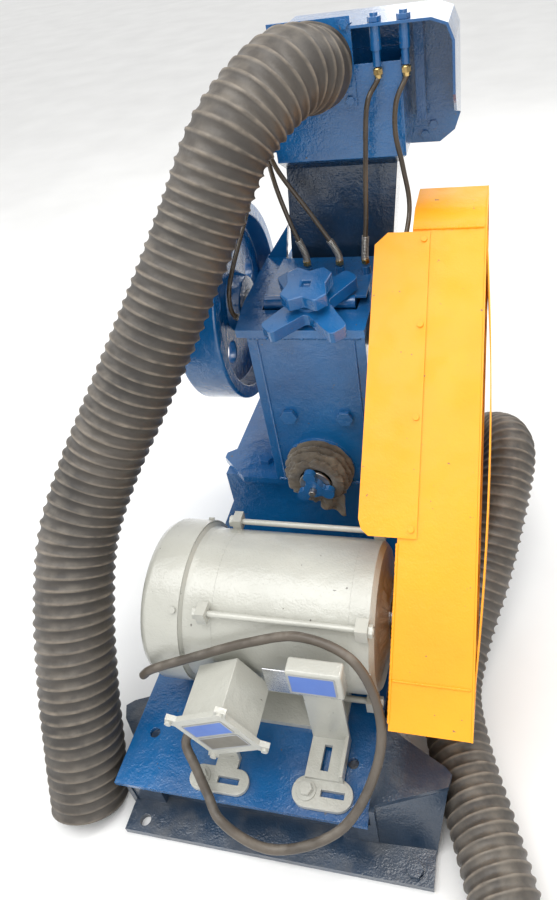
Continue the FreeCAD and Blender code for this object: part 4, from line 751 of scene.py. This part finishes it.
yellow_beads = [
    weld_bead(on_slope(guard_low.x + 0.002, 0.066), on_slope(guard_high.x - 0.002, 0.066), 0.0022),
    weld_bead(on_slope(guard_low.x + 0.001, 0.744, 0.001),
              on_slope(guard_high.x - 0.001, 0.744, 0.001), 0.0026),
    weld_bead(on_slope(guard_low.x, 0.01), on_slope(guard_low.x, 0.255), 0.0022)]
make_piece("guard_weld_beads", *join(yellow_beads), yellow, "yellow_paint")


# ---------------------------------------------------------------- blank labels
def label(name, centre, across, up, size, film):
    """A thin film label with rounded corners: a raised grey border round a blank field."""
    width, height = size
    corner = 0.003
    across = across.normalized()
    up = (up - across * up.dot(across)).normalized()
    out_of = across.cross(up)

    def outline(grow):
        points = []
        for quarter, (sx, sy) in enumerate(((1, 1), (-1, 1), (-1, -1), (1, -1))):
            cx = sx * (width / 2 - corner)
            cy = sy * (height / 2 - corner)
            for k in range(7):
                angle = math.pi / 2 * (quarter + k / 6)
                points.append((cx + (corner + grow) * math.cos(angle),
                               cy + (corner + grow) * math.sin(angle)))
        return points

    def spot(point, lift):
        return centre + across * point[0] + up * point[1] + out_of * lift

    # outline grown by, height above the surface: back, edge, top of the border, field
    layers = [(0.0, 0.0), (0.0, 0.0007), (-0.0022, 0.0009), (-0.0026, 0.0005)]
    verts = []
    faces = []
    count = 28
    for grow, lift in layers:
        verts += [spot(p, lift) for p in outline(grow)]
    for i in range(len(layers) - 1):
        faces += band(i * count, (i + 1) * count, count)
    faces += caps(len(verts), count)
    piece = make_piece(name, verts, faces, label_edge, "grey_paint", smooth=False)
    piece.data.materials.append(film)
    field = len(verts) - count
    for face in piece.data.polygons:
        if all(i >= field for i in face.vertices):
            face.material_index = 1


right_side = Vector((1, 0, 0))
sensor_low, sensor_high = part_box("sensor_box")
sensor_middle = (sensor_low + sensor_high) / 2
label("sensor_label", Vector((sensor_middle.x - 0.003, sensor_low.y - 0.0001, sensor_middle.z)),
      right_side, Vector((0, 0, 1)), (0.068, 0.044), label_blue)

# the switch box's lid leans back a little, and its two labels are stuck on at a slant
lid_low, lid_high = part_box("switch_cover")
lid_tilt = math.radians(3)
lid_middle_y = -0.370
lid_thickness = 0.0083
lid_upward = Vector((0, -math.sin(lid_tilt), math.cos(lid_tilt)))
lid_outward = Vector((0, -math.cos(lid_tilt), -math.sin(lid_tilt)))
lid_face = Vector(((lid_low.x + lid_high.x) / 2, lid_middle_y, (lid_low.z + lid_high.z) / 2))
lid_face += lid_outward * lid_thickness
lid_turn = math.radians(28)
lid_across = right_side * math.cos(lid_turn) + lid_upward * math.sin(lid_turn)
lid_up = lid_upward * math.cos(lid_turn) - right_side * math.sin(lid_turn)
lid_label = (0.078, 0.034)
label("lid_label_blue", lid_face + lid_up * 0.019, lid_across, lid_up, lid_label, label_blue)
label("lid_label_worn", lid_face - lid_up * 0.018, lid_across, lid_up, lid_label, label_worn)

# ---------------------------------------------------------------- floor, light, camera
floor_half = 40
corners = [(-1, -1), (1, -1), (1, 1), (-1, 1)]
floor_mesh = bpy.data.meshes.new("floor")
floor_mesh.from_pydata([(x * floor_half, y * floor_half, 0) for x, y in corners], [],
                       [(0, 1, 2, 3)])
floor = bpy.data.objects.new("floor", floor_mesh)
bpy.context.scene.collection.objects.link(floor)
floor_paint = new_material("floor_paint")
floor_shader = base_shader(floor_paint)
floor_patches = ramp(floor_paint, object_noise(floor_paint, 3), 0.3, 0.7)
floor_tone = blend_colour(floor_paint, floor_patches, (0.86, 0.86, 0.85), (0.80, 0.80, 0.79))
wire(floor_paint, floor_tone, floor_shader.inputs["Base Color"])
floor_shader.inputs["Roughness"].default_value = 0.7
floor_mesh.materials.append(floor_paint)


def soft_light(name, place, size, power, tint=(1, 1, 1)):
    """A rectangular area light aimed at the middle of the machine."""
    data = bpy.data.lights.new(name, "AREA")
    data.shape = "RECTANGLE"
    data.size = size[0]
    data.size_y = size[1]
    data.energy = power
    data.color = tint
    lamp = bpy.data.objects.new(name, data)
    bpy.context.scene.collection.objects.link(lamp)
    lamp.location = place
    heading = Vector((0, 0, 0.45)) - Vector(place)
    lamp.rotation_euler = heading.to_track_quat("-Z", "Y").to_euler()


soft_light("overhead", (-0.6, -0.9, 3.0), (2.4, 1.6), 46)
soft_light("ceiling_strip", (0.9, 0.8, 2.8), (0.5, 2.6), 30, (1, 0.97, 0.93))
soft_light("front_fill", (1.2, -3.0, 1.5), (2.0, 1.6), 16)
soft_light("left_fill", (-2.8, -0.6, 1.4), (1.6, 1.6), 14, (0.94, 0.97, 1))
soft_light("back_fill", (0.6, 2.8, 1.7), (1.8, 1.4), 12)

world = bpy.data.worlds.new("studio")
world.use_nodes = True
world.node_tree.nodes["Background"].inputs["Color"].default_value = (1.0, 1.0, 1.0, 1)
world.node_tree.nodes["Background"].inputs["Strength"].default_value = 0.92
bpy.context.scene.world = world
bpy.context.scene.view_settings.view_transform = "Standard"

# lens and viewpoint fitted to the photo: pixels, metres and degrees
image_width, image_height = 557, 900
focal = 710.7
centre_x, centre_y = 310.1, 394.8
viewpoint = (0.3103, -0.8342, 1.1844)
yaw, pitch, roll = math.radians(18.24), math.radians(36.2), math.radians(-9.66)
film_width = 36
camera_data = bpy.data.cameras.new("camera")
camera_data.sensor_width = film_width
camera_data.lens = focal * film_width / image_height
camera_data.shift_x = (image_width / 2 - centre_x) / image_height
camera_data.shift_y = (centre_y - image_height / 2) / image_height
camera_data.clip_start = 0.02
camera = bpy.data.objects.new("camera", camera_data)
bpy.context.scene.collection.objects.link(camera)
forward = Vector((-math.sin(yaw) * math.cos(pitch), math.cos(yaw) * math.cos(pitch),
                  -math.sin(pitch)))
level = Vector((math.cos(yaw), math.sin(yaw), 0))
above = level.cross(forward)
turn = Matrix.Rotation(-roll, 3, forward)
rotation = Matrix((turn @ level, turn @ above, -forward)).transposed().to_4x4()
camera.matrix_world = Matrix.Translation(viewpoint) @ rotation
bpy.context.scene.camera = camera

bpy.context.view_layer.update()
